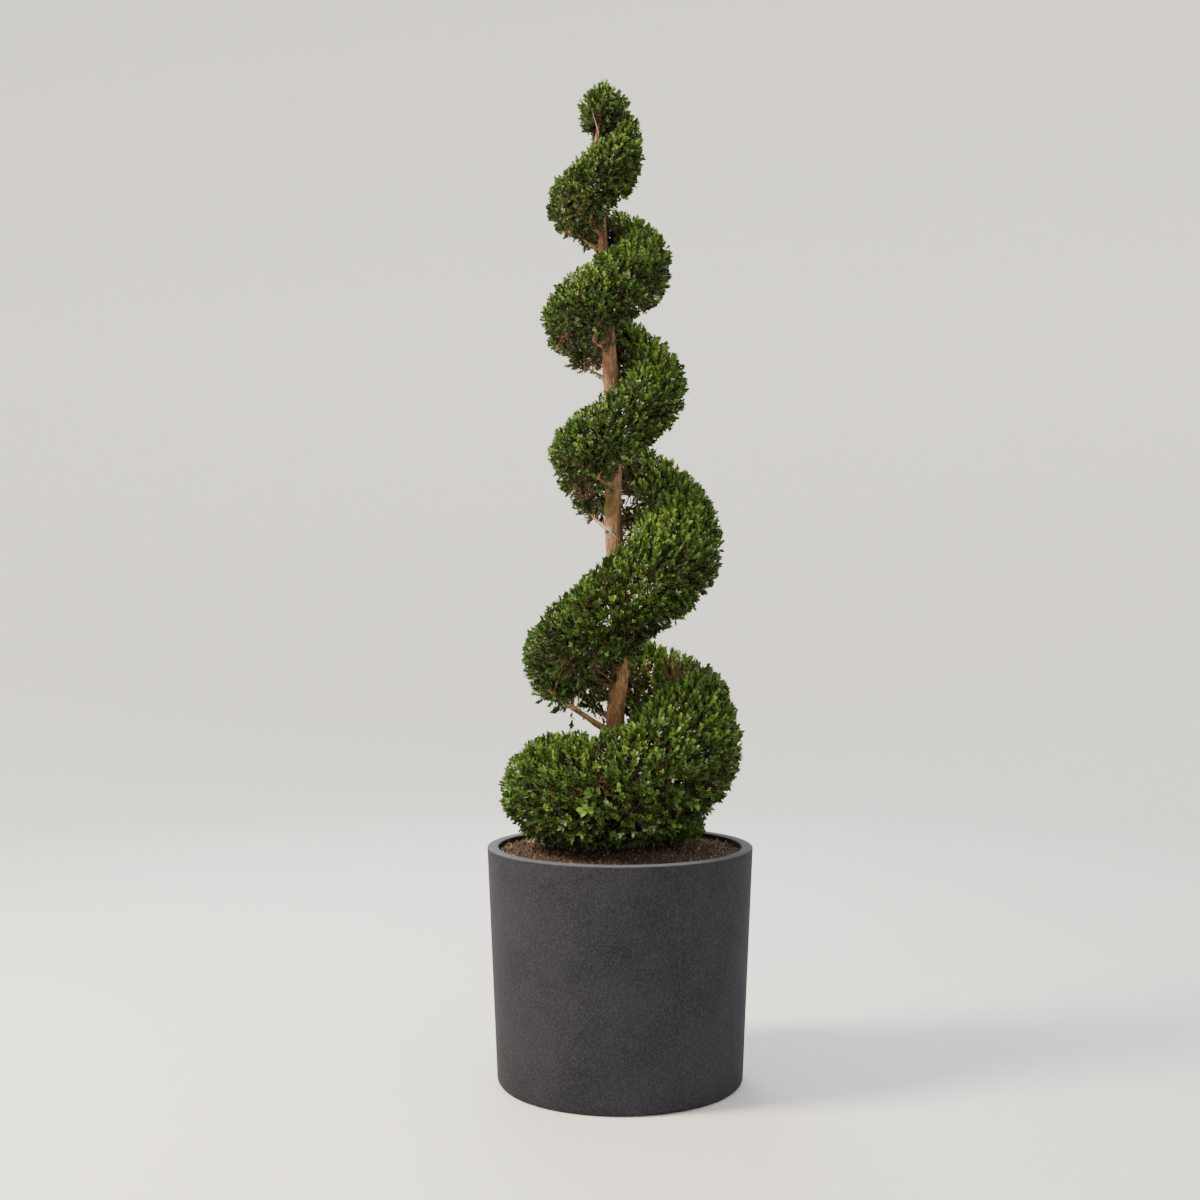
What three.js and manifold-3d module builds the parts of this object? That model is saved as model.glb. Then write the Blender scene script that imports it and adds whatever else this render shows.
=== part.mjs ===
// A clipped spiral topiary growing in a round planter: trunk, boughs, a spiral of
// foliage masses that climbs round the trunk, a crown tuft, the planter and its soil.
// Millimetres, +Z up. The origin is the centre of the planter's underside, and the
// side that the plant is looked at from faces -Y.
import * as THREE from 'three';
import { mergeVertices } from 'three/addons/utils/BufferGeometryUtils.js';
import Module from 'manifold-3d';

const wasm = await Module();
wasm.setup();

// Planter: a near-straight taper from the rim down to a rounded foot.
const POT_HEIGHT = 510;
const RIM_RADIUS = 287;
const FOOT_RADIUS = 265;
const FOOT_ROUND = 14;
const RIM_ROUND = 4;
const POT_WALL = 25;
const POT_FLOOR = 30;
const POT_SIDES = 48;

// Soil: mounded a little round the trunk and lower at the wall.
const SOIL_TOP = 504;
const SOIL_EDGE = 497;
const SOIL_FLAT_RADIUS = 70;
const SOIL_BREAK_SHARE = 0.6;
const FIT_GAP = 0.3;
// Added where a gap is cut along the flat facets of a round limb.
const FACET_GAP = 0.06;

// Trunk: height, lean to the right and radius, from the root flare to the tip.
const TRUNK = [
  [504.3, -2, 34], [514, -2, 29.5], [530, -3, 26], [560, -4, 23], [785, -9, 20],
  [902, 0, 19.5], [1214, -14, 18.5], [1400, -14, 17], [1600, -25, 15.5], [1812, -37, 9.5],
  [1950, -43, 7], [2040, -49, 5.6], [2092, -40, 3.8],
];
const TRUNK_FOOT = TRUNK[0][0];
const TRUNK_TIP = TRUNK.at(-1)[0];
const TRUNK_RINGS = 22;
const TRUNK_SIDES = 12;
// Rings crowd towards the root flare by this power.
const TRUNK_CROWDING = 1.6;
const BARK_RIB = { depth: 0.04, count: 3, pitch: 70 };

// The spiral's clipped outline: angle round the trunk from +X, counter-clockwise from
// above; the height of the turn's middle; its reach from the trunk; half its height.
const SPIRAL = [
  [-20, 530, 150, 20], [0, 545, 190, 28], [45, 566, 208, 52], [90, 592, 215, 74],
  [180, 627, 249, 114], [225, 640, 256, 119], [270, 650, 257, 124], [315, 694, 258, 144],
  [360, 745, 273, 146], [450, 886, 235, 84], [540, 911, 210, 91], [630, 1034, 216, 110],
  [720, 1174, 232, 126], [765, 1248, 214, 122], [810, 1296, 190, 102], [900, 1354, 140, 62],
  [990, 1402, 150, 88], [1080, 1507, 163, 85], [1125, 1558, 160, 92], [1170, 1606, 154, 80],
  [1260, 1642, 142, 72], [1305, 1661, 143, 75], [1350, 1695, 143, 86], [1440, 1766, 147, 84],
  [1485, 1815, 140, 77], [1530, 1857, 129, 58], [1620, 1890, 119, 61], [1665, 1907, 115, 68],
  [1710, 1935, 110, 83], [1800, 2013, 98, 78], [1845, 2038, 88, 66], [1900, 2050, 70, 48],
];
const SPIRAL_START = SPIRAL[0][0];
const SPIRAL_END = SPIRAL.at(-1)[0];
const MASS_COUNT = 16;
const MASS_SPAN = (SPIRAL_END - SPIRAL_START) / MASS_COUNT;
const INNER_RADIUS = 27;
const INNER_SHARE = 0.3;
const MASS_GAP_DEG = 1;
// The most that a point may lie under the outline, as a share of the section's half size.
const INSET_SHARE = 0.35;
// An opening right of the trunk where the sky shows through the back of one mass.
const WINDOW = { mass: 7, x: 18, z: 1238, halfWidth: 14, halfHeight: 50, depth: 600, sides: 12 };

// The crown tuft is an upright egg round the trunk's tip.
const CROWN = { x: -35, z: 2097, radius: 60, half: 65, rows: 7 };

// Foliage: how deep the core lies under the outline, how far sprays stand past it.
const CORE_DEPTH = 15;
const OUTSTAND = 5;
const CORE_STEPS = 8;
const CORE_SIDES = 12;
const CORE_LUMP = { depth: 2.5, along: 4.3, round: 2, beat: 3 };
const FEWEST_SPRAYS = 10;
const AREA_PER_SPRAY = 7600;
const SPRAYS_PER_TWIG = 4;
const LEAF = { length: 52, width: 30, thick: 6, waist: 0.4, sunk: 4 };
const SPRAY_SCALE = { smallest: 0.68, largest: 1.15, spread: 0.15 };
// How upright a blade stands: each value is tried until it stays in the mass's space.
const SPRAY_LIFTS = [1.1, 0.8, 0.6, 0.4, 0.1];
const GOLDEN = 0.618034;
const JITTER = 0.06;
// A mass this wide, as the square root of its area, has leaf sprays of full length.
const FULL_SPRAY_SPAN = 400;
const TWIG = { radius: 2.6, tip: 1.6, outstand: 10, sides: 3 };
const STEM = { root: 4.5, tip: 2.6, sides: 6, rings: 4, rise: 60 };

// Boughs: the mass each carries, how far below that mass it leaves the trunk, its radius
// at the root and where it meets the mass, its turn in degrees from the mass's middle, and
// where it comes in on the turn's section.
const BOUGHS = [
  [4, 42, 5, 3.6, 0, -95], [5, 96, 9, 5.2, 45, -62], [6, 16, 5, 3.6, 0, -95],
  [7, -112, 4.5, 3.4, -40, 160], [8, 60, 5, 3.4, -30, -90], [9, 14, 4.6, 3.2, -35, -95],
  [10, 42, 4.6, 3.2, 0, -95], [11, 50, 4.2, 2.8, 5, -100], [12, 14, 4.2, 3, -35, -95],
  [13, 38, 4, 2.8, 0, -95], [14, 36, 3.2, 2.2, 15, -115], [15, 12, 3.4, 2.4, -35, -95],
  [16, 30, 3.2, 2.2, 0, -95],
];
// Second boughs into a mass.
const SIDE_BOUGHS = [[5, 45, 5.5, 3.6, -38, -90], [14, 14, 3, 2.2, -20, -115]];
const BOUGH_SIDES = 6;
const BOUGH_RINGS = 4;
const BOUGH_SAG = 0.03;

const SEED = 20;
const MERGE_DISTANCE = 1e-4;

const rad = THREE.MathUtils.degToRad;
const point = (x, y, z) => new THREE.Vector3(x, y, z);

// A seeded stream of numbers from 0 to 1, so that every build grows the same plant. Each
// number is worked out from the last one by a multiplication and a sum, kept to 32 bits.
const STREAM = { factor: 1664525, step: 1013904223, size: 2 ** 32 };

function randomStream(seed) {
  let state = seed >>> 0;
  return () => {
    state = (Math.imul(state, STREAM.factor) + STREAM.step) >>> 0;
    return state / STREAM.size;
  };
}

// A smooth curve through a table's rows: the first column is the place along it.
function along(table, at) {
  const last = table.length - 1;
  let i = 0;
  while (i < last - 1 && at > table[i + 1][0]) i += 1;
  const slope = (row, column) => {
    const a = table[Math.max(row - 1, 0)];
    const b = table[Math.min(row + 1, last)];
    return (b[column] - a[column]) / (b[0] - a[0]);
  };
  const [low, high] = [table[i], table[i + 1]];
  const step = high[0] - low[0];
  const t = THREE.MathUtils.clamp((at - low[0]) / step, 0, 1);
  return low.slice(1).map((value, k) => {
    const column = k + 1;
    const rise = high[column] - value;
    const a = slope(i, column) * step;
    const b = slope(i + 1, column) * step;
    return value + t * (a + t * ((3 * rise - 2 * a - b) + t * (a + b - 2 * rise)));
  });
}

const trunkX = (z) => along(TRUNK, z)[0];
const trunkRadius = (z) => along(TRUNK, z)[1];

// A closed body from a start point, rings of equal count and an end point.
function loft(start, rings, end) {
  const sides = rings[0].length;
  const points = [start, ...rings.flat(), end];
  const faces = [];
  const at = (ring, side) => 1 + ring * sides + (side % sides);
  for (let j = 0; j < sides; j += 1) {
    faces.push(0, at(0, j + 1), at(0, j));
    for (let i = 0; i + 1 < rings.length; i += 1) {
      faces.push(at(i, j), at(i, j + 1), at(i + 1, j + 1));
      faces.push(at(i, j), at(i + 1, j + 1), at(i + 1, j));
    }
    faces.push(points.length - 1, at(rings.length - 1, j), at(rings.length - 1, j + 1));
  }
  const geometry = new THREE.BufferGeometry();
  geometry.setAttribute('position', new THREE.Float32BufferAttribute(points.flatMap((p) => [...p]), 3));
  geometry.setIndex(faces);
  return geometry;
}

function toSolid(geometry) {
  const bare = geometry.clone();
  bare.deleteAttribute('normal');
  bare.deleteAttribute('uv');
  const merged = mergeVertices(bare, MERGE_DISTANCE);
  return new wasm.Manifold(new wasm.Mesh({
    numProp: 3,
    vertProperties: Float32Array.from(merged.attributes.position.array),
    triVerts: Uint32Array.from(merged.index.array),
  }));
}

function toGeometry(solid) {
  const { vertProperties, triVerts } = solid.getMesh();
  const geometry = new THREE.BufferGeometry();
  geometry.setAttribute('position', new THREE.Float32BufferAttribute(vertProperties, 3));
  geometry.setIndex([...triVerts]);
  geometry.computeVertexNormals();
  return geometry;
}

// Two directions across a given one, so that a ring turns the right way about it.
function across(direction) {
  const side = Math.abs(direction.z) > 0.9 ? point(1, 0, 0) : point(0, 0, 1);
  const u = side.cross(direction).normalize();
  return [u, direction.clone().cross(u)];
}

// A tapering limb along a curve, from its root radius to its tip radius.
function limb(curve, rootRadius, tipRadius, sides, ringCount) {
  const rings = [];
  for (let i = 0; i < ringCount; i += 1) {
    const t = i / (ringCount - 1);
    const centre = curve.getPoint(t);
    const [u, v] = across(curve.getTangent(t));
    const radius = THREE.MathUtils.lerp(rootRadius, tipRadius, t);
    rings.push(Array.from({ length: sides }, (_, j) => {
      const turn = (2 * Math.PI * j) / sides;
      return centre.clone().addScaledVector(u, radius * Math.cos(turn))
        .addScaledVector(v, radius * Math.sin(turn));
    }));
  }
  return loft(curve.getPoint(0), rings, curve.getPoint(1));
}

// Trunk

function trunkGeometry(grow) {
  const rings = [];
  for (let i = 0; i < TRUNK_RINGS; i += 1) {
    const share = (i / (TRUNK_RINGS - 1)) ** TRUNK_CROWDING;
    const z = THREE.MathUtils.lerp(TRUNK_FOOT, TRUNK_TIP, share);
    const radius = trunkRadius(z);
    rings.push(Array.from({ length: TRUNK_SIDES }, (_, j) => {
      const turn = (2 * Math.PI * j) / TRUNK_SIDES;
      const rib = 1 + BARK_RIB.depth * Math.sin(BARK_RIB.count * turn + z / BARK_RIB.pitch);
      const r = radius * rib + grow;
      return point(trunkX(z) + r * Math.cos(turn), r * Math.sin(turn), z);
    }));
  }
  const cap = (z) => point(trunkX(z), 0, z);
  return loft(cap(TRUNK_FOOT), rings, cap(TRUNK_TIP));
}

const trunkClearance = toSolid(trunkGeometry(FIT_GAP + FACET_GAP));

// Spiral outline

function spiralAt(angle) {
  const [height, reach, half] = along(SPIRAL, angle);
  const inner = Math.min(INNER_RADIUS, reach * INNER_SHARE);
  return { height, half, middle: (reach + inner) / 2, width: (reach - inner) / 2 };
}

// A point of the turn's upright section at an angle, this deep under the outline. The
// section's own turn is 0 at the outer edge and 90 at the top, in degrees.
function outlinePoint(angle, turn, depth) {
  const s = spiralAt(angle);
  const inset = Math.min(depth, INSET_SHARE * Math.min(s.half, s.width));
  const z = s.height + (s.half - inset) * Math.sin(rad(turn));
  const reach = s.middle + (s.width - inset) * Math.cos(rad(turn));
  return point(trunkX(z) + reach * Math.cos(rad(angle)), reach * Math.sin(rad(angle)), z);
}

// The middle of the turn's section at an angle.
function heartAt(angle) {
  const s = spiralAt(angle);
  const [x, y] = [s.middle * Math.cos(rad(angle)), s.middle * Math.sin(rad(angle))];
  return point(trunkX(s.height) + x, y, s.height);
}

const inWindow = (p) => (
  Math.hypot((p.x - WINDOW.x) / WINDOW.halfWidth, (p.z - WINDOW.z) / WINDOW.halfHeight) < 1);

function inCrown(p) {
  const u = Math.hypot(p.x - CROWN.x, p.y) / (CROWN.radius + OUTSTAND);
  return Math.hypot(u, (p.z - CROWN.z) / (CROWN.half + OUTSTAND)) < 1;
}

// One mass of the spiral: its span of angles, its surface and its own space.
function spiralMass(number) {
  const from = SPIRAL_START + (number - 1) * MASS_SPAN + MASS_GAP_DEG / 2;
  const to = from + MASS_SPAN - MASS_GAP_DEG;
  const middle = (from + to) / 2;
  const core = () => {
    const rings = [];
    for (let i = 0; i <= CORE_STEPS; i += 1) {
      const angle = THREE.MathUtils.lerp(from, to, i / CORE_STEPS);
      rings.push(Array.from({ length: CORE_SIDES }, (_, j) => {
        const turn = (-360 * j) / CORE_SIDES;
        const wave = Math.sin(rad(CORE_LUMP.along * angle + CORE_LUMP.round * turn));
        const lump = CORE_LUMP.depth * wave * Math.cos(rad(CORE_LUMP.beat * turn));
        return outlinePoint(angle, turn, CORE_DEPTH + lump);
      }));
    }
    return loft(heartAt(from), rings, heartAt(to));
  };
  const holds = (p) => {
    const dx = p.x - trunkX(p.z);
    const reach = Math.hypot(dx, p.y);
    const bearing = THREE.MathUtils.radToDeg(Math.atan2(p.y, dx));
    const angle = bearing + 360 * Math.round((middle - bearing) / 360);
    if (angle < from || angle > to || reach < trunkRadius(p.z) + OUTSTAND) return false;
    if (inCrown(p) || (number === WINDOW.mass && inWindow(p))) return false;
    const s = spiralAt(angle);
    const u = (reach - s.middle) / (s.width + OUTSTAND);
    return Math.hypot(u, (p.z - s.height) / (s.half + OUTSTAND)) < 1;
  };
  const s = spiralAt(middle);
  return {
    name: `foliage_${String(number).padStart(2, '0')}`,
    core,
    holds,
    heart: heartAt(middle),
    spine: (u) => heartAt(THREE.MathUtils.lerp(from, to, u)),
    area: rad(MASS_SPAN) * s.middle * Math.PI * (s.half + s.width),
    // u runs along the spiral and v round the section, both from 0 to 1.
    surface: (u, v, depth) => outlinePoint(THREE.MathUtils.lerp(from, to, u), 360 * v, depth),
    middle,
    cuts: [],
  };
}

// The crown tuft's own space, which the end of the spiral's core is cut clear of.
function crownSpace() {
  const ball = new THREE.SphereGeometry(1, 2 * CORE_SIDES, CORE_SIDES);
  const margin = 2 * OUTSTAND;
  ball.scale(CROWN.radius + margin, CROWN.half + margin, CROWN.radius + margin);
  return toSolid(ball.rotateX(Math.PI / 2).translate(CROWN.x, 0, CROWN.z));
}

// An upright oval opening that runs through a mass's core from front to back.
function windowSpace() {
  const oval = new THREE.CylinderGeometry(1, 1, WINDOW.depth, WINDOW.sides);
  oval.scale(WINDOW.halfWidth, 1, WINDOW.halfHeight);
  return toSolid(oval.translate(WINDOW.x, 0, WINDOW.z));
}

function crownPoint(u, v, depth) {
  const turn = rad(360 * u);
  const lift = rad(180 * v - 90);
  const reach = (CROWN.radius - depth) * Math.cos(lift);
  return point(CROWN.x + reach * Math.cos(turn), reach * Math.sin(turn),
    CROWN.z + (CROWN.half - depth) * Math.sin(lift));
}

function crownMass() {
  const core = () => {
    const rings = [];
    for (let i = 1; i < CROWN.rows; i += 1) {
      rings.push(Array.from({ length: CORE_SIDES }, (_, j) => (
        crownPoint(j / CORE_SIDES, i / CROWN.rows, CORE_DEPTH))));
    }
    return loft(crownPoint(0, 0, CORE_DEPTH), rings, crownPoint(0, 1, CORE_DEPTH));
  };
  return {
    name: 'foliage_crown',
    core,
    holds: (p) => inCrown(p)
      && (p.z > TRUNK_TIP || Math.hypot(p.x - trunkX(p.z), p.y) > trunkRadius(p.z) + OUTSTAND),
    onTip: true,
    cuts: [],
    spine: (u, stem) => stem.getPoint(u),
    area: 4 * Math.PI * CROWN.radius * CROWN.half,
    surface: crownPoint,
  };
}

// Boughs

// The bough leaves the trunk below its mass and rises into the mass's underside.
function boughCurve(mass, bough) {
  const angle = mass.middle + bough.turn;
  const tip = outlinePoint(angle, bough.entry, -OUTSTAND);
  const s = spiralAt(angle);
  const rootHeight = s.height - s.half - bough.drop;
  const root = point(trunkX(rootHeight), 0, rootHeight);
  const bend = root.clone().lerp(tip, 0.5);
  bend.z -= BOUGH_SAG * root.distanceTo(tip);
  return new THREE.QuadraticBezierCurve3(root, bend, tip);
}

function boughGeometry(bough) {
  const whole = toSolid(limb(bough.curve, bough.root, bough.tip, BOUGH_SIDES, BOUGH_RINGS));
  return toGeometry(whole.subtract(trunkClearance));
}

// Foliage

// A flat spindle that stands for a leaf spray: its widest part, the waist, lies at a
// point of the core's surface, its root is sunk under it and its tip stands out.
function leafSpray(waist, direction, flat, scale) {
  const width = direction.clone().cross(flat).normalize();
  const normal = direction.clone().cross(width);
  const out = (axis, size) => waist.clone().addScaledVector(axis, size * scale);
  const [w, t] = [LEAF.width / 2, LEAF.thick / 2];
  return {
    root: out(direction, -LEAF.waist * LEAF.length),
    ring: [out(width, w), out(normal, t), out(width, -w), out(normal, -t)],
    tip: out(direction, (1 - LEAF.waist) * LEAF.length),
  };
}

const touchesLimb = (p, limbs) => limbs.some(({ line, radius }) => {
  const near = line.closestPointToPoint(p, true, new THREE.Vector3());
  return near.distanceTo(p) < radius + OUTSTAND;
});

// Grows one mass: its core with any cuts, the stem from its bough or the trunk, and twigs
// that fork from the middle line of the core. Leaf sprays stand out of the core, evenly
// spread, and every few of them sits on the end of a twig that comes out.
function foliageGeometry(mass, stem, limbs, random) {
  let solid = mass.cuts.reduce((rest, tool) => rest.subtract(tool), toSolid(mass.core()));
  solid = solid.add(stem.solid);
  const dice = () => 2 * random() - 1;
  const sprayCount = Math.round(FEWEST_SPRAYS + mass.area / AREA_PER_SPRAY);
  const size = THREE.MathUtils.clamp(Math.sqrt(mass.area) / FULL_SPRAY_SPAN,
    SPRAY_SCALE.smallest, SPRAY_SCALE.largest);
  const fits = (p) => mass.holds(p) && !touchesLimb(p, limbs);
  for (let n = 0; n < sprayCount; n += 1) {
    const u = (n + 0.5) / sprayCount;
    const v = (n * GOLDEN + JITTER * random()) % 1;
    const foot = mass.surface(u, v, CORE_DEPTH);
    const outward = mass.surface(u, v, 0).sub(foot).normalize();
    const [a, b] = across(outward);
    const turn = 2 * Math.PI * random();
    const lean = a.multiplyScalar(Math.cos(turn)).addScaledVector(b, Math.sin(turn));
    const scale = size * (1 + SPRAY_SCALE.spread * dice());
    const onTwig = n % SPRAYS_PER_TWIG === 0;
    const waist = foot.clone().addScaledVector(outward, onTwig ? TWIG.outstand : -LEAF.sunk);
    // The blade lies lower where it would otherwise stand out of the mass's space.
    for (const lift of SPRAY_LIFTS) {
      const direction = lean.clone().addScaledVector(outward, lift).normalize();
      const leaf = leafSpray(waist, direction, outward, scale);
      if (fits(leaf.tip) && fits(leaf.root) && leaf.ring.every(fits)) {
        if (onTwig) {
          const line = new THREE.LineCurve3(mass.spine(u, stem.curve), waist);
          solid = solid.add(toSolid(limb(line, TWIG.radius, TWIG.tip, TWIG.sides, 2)));
        }
        solid = solid.add(toSolid(loft(leaf.root, [leaf.ring], leaf.tip)));
        break;
      }
    }
  }
  // A blade that the core's flat faces leave loose is dropped.
  const bodies = solid.subtract(trunkClearance).decompose();
  return toGeometry(bodies.reduce((a, b) => (a.volume() > b.volume() ? a : b)));
}

// The stem inside a mass runs on from its bough's tip, or else starts at the trunk.
function stemFor(mass, bough) {
  let from;
  let bend;
  let to = mass.heart;
  let radius = STEM.root;
  if (bough) {
    const onward = bough.curve.getTangent(1);
    from = bough.curve.getPoint(1).addScaledVector(onward, FIT_GAP);
    bend = from.clone().addScaledVector(onward, from.distanceTo(to) / 2);
    radius = bough.tip;
  } else if (mass.onTip) {
    from = point(trunkX(TRUNK_TIP), 0, TRUNK_TIP + FIT_GAP);
    to = from.clone().setZ(CROWN.z + CROWN.half / 3);
    radius = trunkRadius(TRUNK_TIP);
  } else {
    const height = Math.max(to.z - STEM.rise, TRUNK_FOOT + 2 * STEM.root);
    from = point(trunkX(height), 0, height);
  }
  bend ??= from.clone().lerp(to, 0.5);
  const curve = new THREE.QuadraticBezierCurve3(from, bend, to);
  return { curve, solid: toSolid(limb(curve, radius, STEM.tip, STEM.sides, STEM.rings)) };
}

// Planter and soil

const wallAt = (z) => THREE.MathUtils.lerp(FOOT_RADIUS, RIM_RADIUS, z / POT_HEIGHT);

function roundCorner(centre, radius, from, to, steps) {
  return Array.from({ length: steps + 1 }, (_, i) => {
    const turn = rad(THREE.MathUtils.lerp(from, to, i / steps));
    return new THREE.Vector2(centre[0] + radius * Math.cos(turn), centre[1] + radius * Math.sin(turn));
  });
}

// Turns a profile of radius and height about the upright axis.
function turned(profile) {
  return new THREE.LatheGeometry(profile, POT_SIDES).rotateX(Math.PI / 2);
}

function planterGeometry() {
  const rimOut = wallAt(POT_HEIGHT - RIM_ROUND) - RIM_ROUND;
  const rimIn = RIM_RADIUS - POT_WALL + RIM_ROUND;
  return turned([
    new THREE.Vector2(0, 0),
    ...roundCorner([wallAt(FOOT_ROUND) - FOOT_ROUND, FOOT_ROUND], FOOT_ROUND, -90, 0, 3),
    ...roundCorner([rimOut, POT_HEIGHT - RIM_ROUND], RIM_ROUND, 0, 90, 1),
    ...roundCorner([rimIn, POT_HEIGHT - RIM_ROUND], RIM_ROUND, 90, 180, 1),
    new THREE.Vector2(wallAt(POT_FLOOR) - POT_WALL, POT_FLOOR),
    new THREE.Vector2(0, POT_FLOOR),
  ]);
}

function soilGeometry() {
  const inside = (z) => wallAt(z) - POT_WALL - FIT_GAP * 2;
  const bottom = POT_FLOOR + FIT_GAP;
  const slope = (share) => new THREE.Vector2(
    THREE.MathUtils.lerp(SOIL_FLAT_RADIUS, inside(SOIL_EDGE), share),
    THREE.MathUtils.lerp(SOIL_TOP, SOIL_EDGE, share * share),
  );
  return turned([
    new THREE.Vector2(0, bottom),
    new THREE.Vector2(inside(bottom), bottom),
    slope(1),
    slope(SOIL_BREAK_SHARE),
    slope(0),
    new THREE.Vector2(0, SOIL_TOP),
  ]);
}

// Assembly

const finish = (color, roughness) => new THREE.MeshStandardMaterial({ color, roughness, metalness: 0 });
const finishes = {
  planter: () => finish(0x3d3f43, 0.8),
  soil: () => finish(0x3b2a20, 1),
  bark: () => finish(0x80604a, 0.9),
  foliage: (share) => finish(new THREE.Color(0x24491c).lerp(new THREE.Color(0x4c7a33), share), 0.7),
};

const plant = new THREE.Group();

function addPart(name, geometry, material) {
  const mesh = new THREE.Mesh(geometry, material);
  mesh.name = name;
  plant.add(mesh);
}

addPart('planter', planterGeometry(), finishes.planter());
addPart('soil', soilGeometry(), finishes.soil());
addPart('trunk', trunkGeometry(0), finishes.bark());

const masses = Array.from({ length: MASS_COUNT }, (_, i) => spiralMass(i + 1));
masses[WINDOW.mass - 1].cuts.push(windowSpace());
masses.at(-1).cuts.push(crownSpace());
masses.push(crownMass());

const asBoughs = (table, suffix) => table.map(([number, drop, root, tip, turn, entry]) => (
  { number, drop, root, tip, turn, entry, suffix }));
const boughs = [...asBoughs(BOUGHS, ''), ...asBoughs(SIDE_BOUGHS, '_side')];
for (const bough of boughs) {
  bough.curve = boughCurve(masses[bough.number - 1], bough);
  const name = `bough_${String(bough.number).padStart(2, '0')}${bough.suffix}`;
  addPart(name, boughGeometry(bough), finishes.bark());
}
const limbs = boughs.map(({ curve, root }) => ({
  line: new THREE.Line3(curve.getPoint(0), curve.getPoint(1)),
  radius: root,
}));

masses.forEach((mass, i) => {
  const bough = boughs.find(({ number, suffix }) => number === i + 1 && !suffix);
  const geometry = foliageGeometry(mass, stemFor(mass, bough), limbs, randomStream(SEED + i));
  addPart(mass.name, geometry, finishes.foliage((i % 3) / 3));
});

export default plant;
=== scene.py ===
# A clipped spiral topiary in a round planter, finished down to its leaves. Leaf sprays, twigs
# and bark grow by the same rule as the solids that they stand for. Metres, +Z up.
import math

import bpy
import numpy as np
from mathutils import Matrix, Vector, noise


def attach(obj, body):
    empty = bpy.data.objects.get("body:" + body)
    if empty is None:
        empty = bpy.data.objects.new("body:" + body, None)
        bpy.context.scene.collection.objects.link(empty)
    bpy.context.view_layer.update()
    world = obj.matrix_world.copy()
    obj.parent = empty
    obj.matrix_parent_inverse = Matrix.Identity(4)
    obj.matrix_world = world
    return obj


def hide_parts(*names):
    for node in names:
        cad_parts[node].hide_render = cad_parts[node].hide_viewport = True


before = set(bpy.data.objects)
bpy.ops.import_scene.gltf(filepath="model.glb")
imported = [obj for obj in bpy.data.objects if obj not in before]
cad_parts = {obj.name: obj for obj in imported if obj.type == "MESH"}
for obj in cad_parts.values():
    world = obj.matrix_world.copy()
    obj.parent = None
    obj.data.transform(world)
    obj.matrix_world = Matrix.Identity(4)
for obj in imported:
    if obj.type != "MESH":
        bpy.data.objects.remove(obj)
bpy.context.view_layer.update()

BOUGH_NODES, FOLIAGE_NODES = (
    [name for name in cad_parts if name.startswith(kind)] for kind in ("bough", "foliage"))
MM = 0.001

# Planter and soil, as their solids
POT_HEIGHT = 510 * MM
RIM_RADIUS = 287 * MM
FOOT_RADIUS = 265 * MM
FOOT_ROUND = 14 * MM
FOOT_STEPS = 12
RIM_ROUND = 4 * MM
RIM_STEPS = 6
POT_WALL = 25 * MM
POT_FLOOR = 30 * MM
POT_ROWS = 26
POT_SIDES = 192
SOIL_TOP = 504 * MM
SOIL_EDGE = 497 * MM
SOIL_FLAT_RADIUS = 70 * MM
SOIL_GAP = 0.6 * MM
SOIL_SIDES = 240
SOIL_RINGS = 70
# Lumps in the soil: their height, how many to the metre, and their roughness.
LUMP_HEIGHT = 3.5 * MM
LUMPS_PER_METRE = 60
LUMP_FRACTAL = (0.8, 2.1, 4)

# Trunk: height, lean to the right and radius, from the root flare to the tip.
TRUNK = MM * np.array([
    [504.3, -2, 34], [514, -2, 29.5], [530, -3, 26], [560, -4, 23], [785, -9, 20],
    [902, 0, 19.5], [1214, -14, 18.5], [1400, -14, 17], [1600, -25, 15.5], [1812, -37, 9.5],
    [1950, -43, 7], [2040, -49, 5.6], [2092, -40, 3.8],
])
TRUNK_FOOT = TRUNK[0, 0]
TRUNK_TIP = TRUNK[-1, 0]
TRUNK_RINGS = 640
TRUNK_SIDES = 96
FOOT_CROWDING = 1.25
BARK_RIB = 0.04
RIB_HEIGHT = 70 * MM
# Ridges in bark: how many round the limb, how deep as a share of its radius, how far they
# wander and over what height. A collar swells the trunk where each bough leaves it.
TRUNK_RIDGES = [
    (7, 0.018, 0.9, 60 * MM), (13, 0.016, 1.3, 34 * MM), (24, 0.014, 1.6, 17 * MM),
    (40, 0.010, 2.2, 9 * MM),
]
BOUGH_RIDGES = [(2, 0.12, 0.5, 50 * MM), (5, 0.05, 0.8, 20 * MM), (8, 0.04, 1.2, 13 * MM)]
COLLAR_WIDTH = 11 * MM
COLLAR_RISE = 0.20
COLLAR_LIFT = 0.3
# A healed scar on the front left, and the heights between which moss grows.
SCAR = (-27 * MM, -13 * MM, 1187 * MM)
SCAR_RADIUS = 8 * MM
SCAR_LIP = 3 * MM
SCAR_RISE = 0.18
SCAR_SQUASH = 1.4
MOSS_HEIGHTS = [(820 * MM, 945 * MM), (1195 * MM, 1335 * MM)]
MOSS_FADE = 30 * MM

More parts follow.
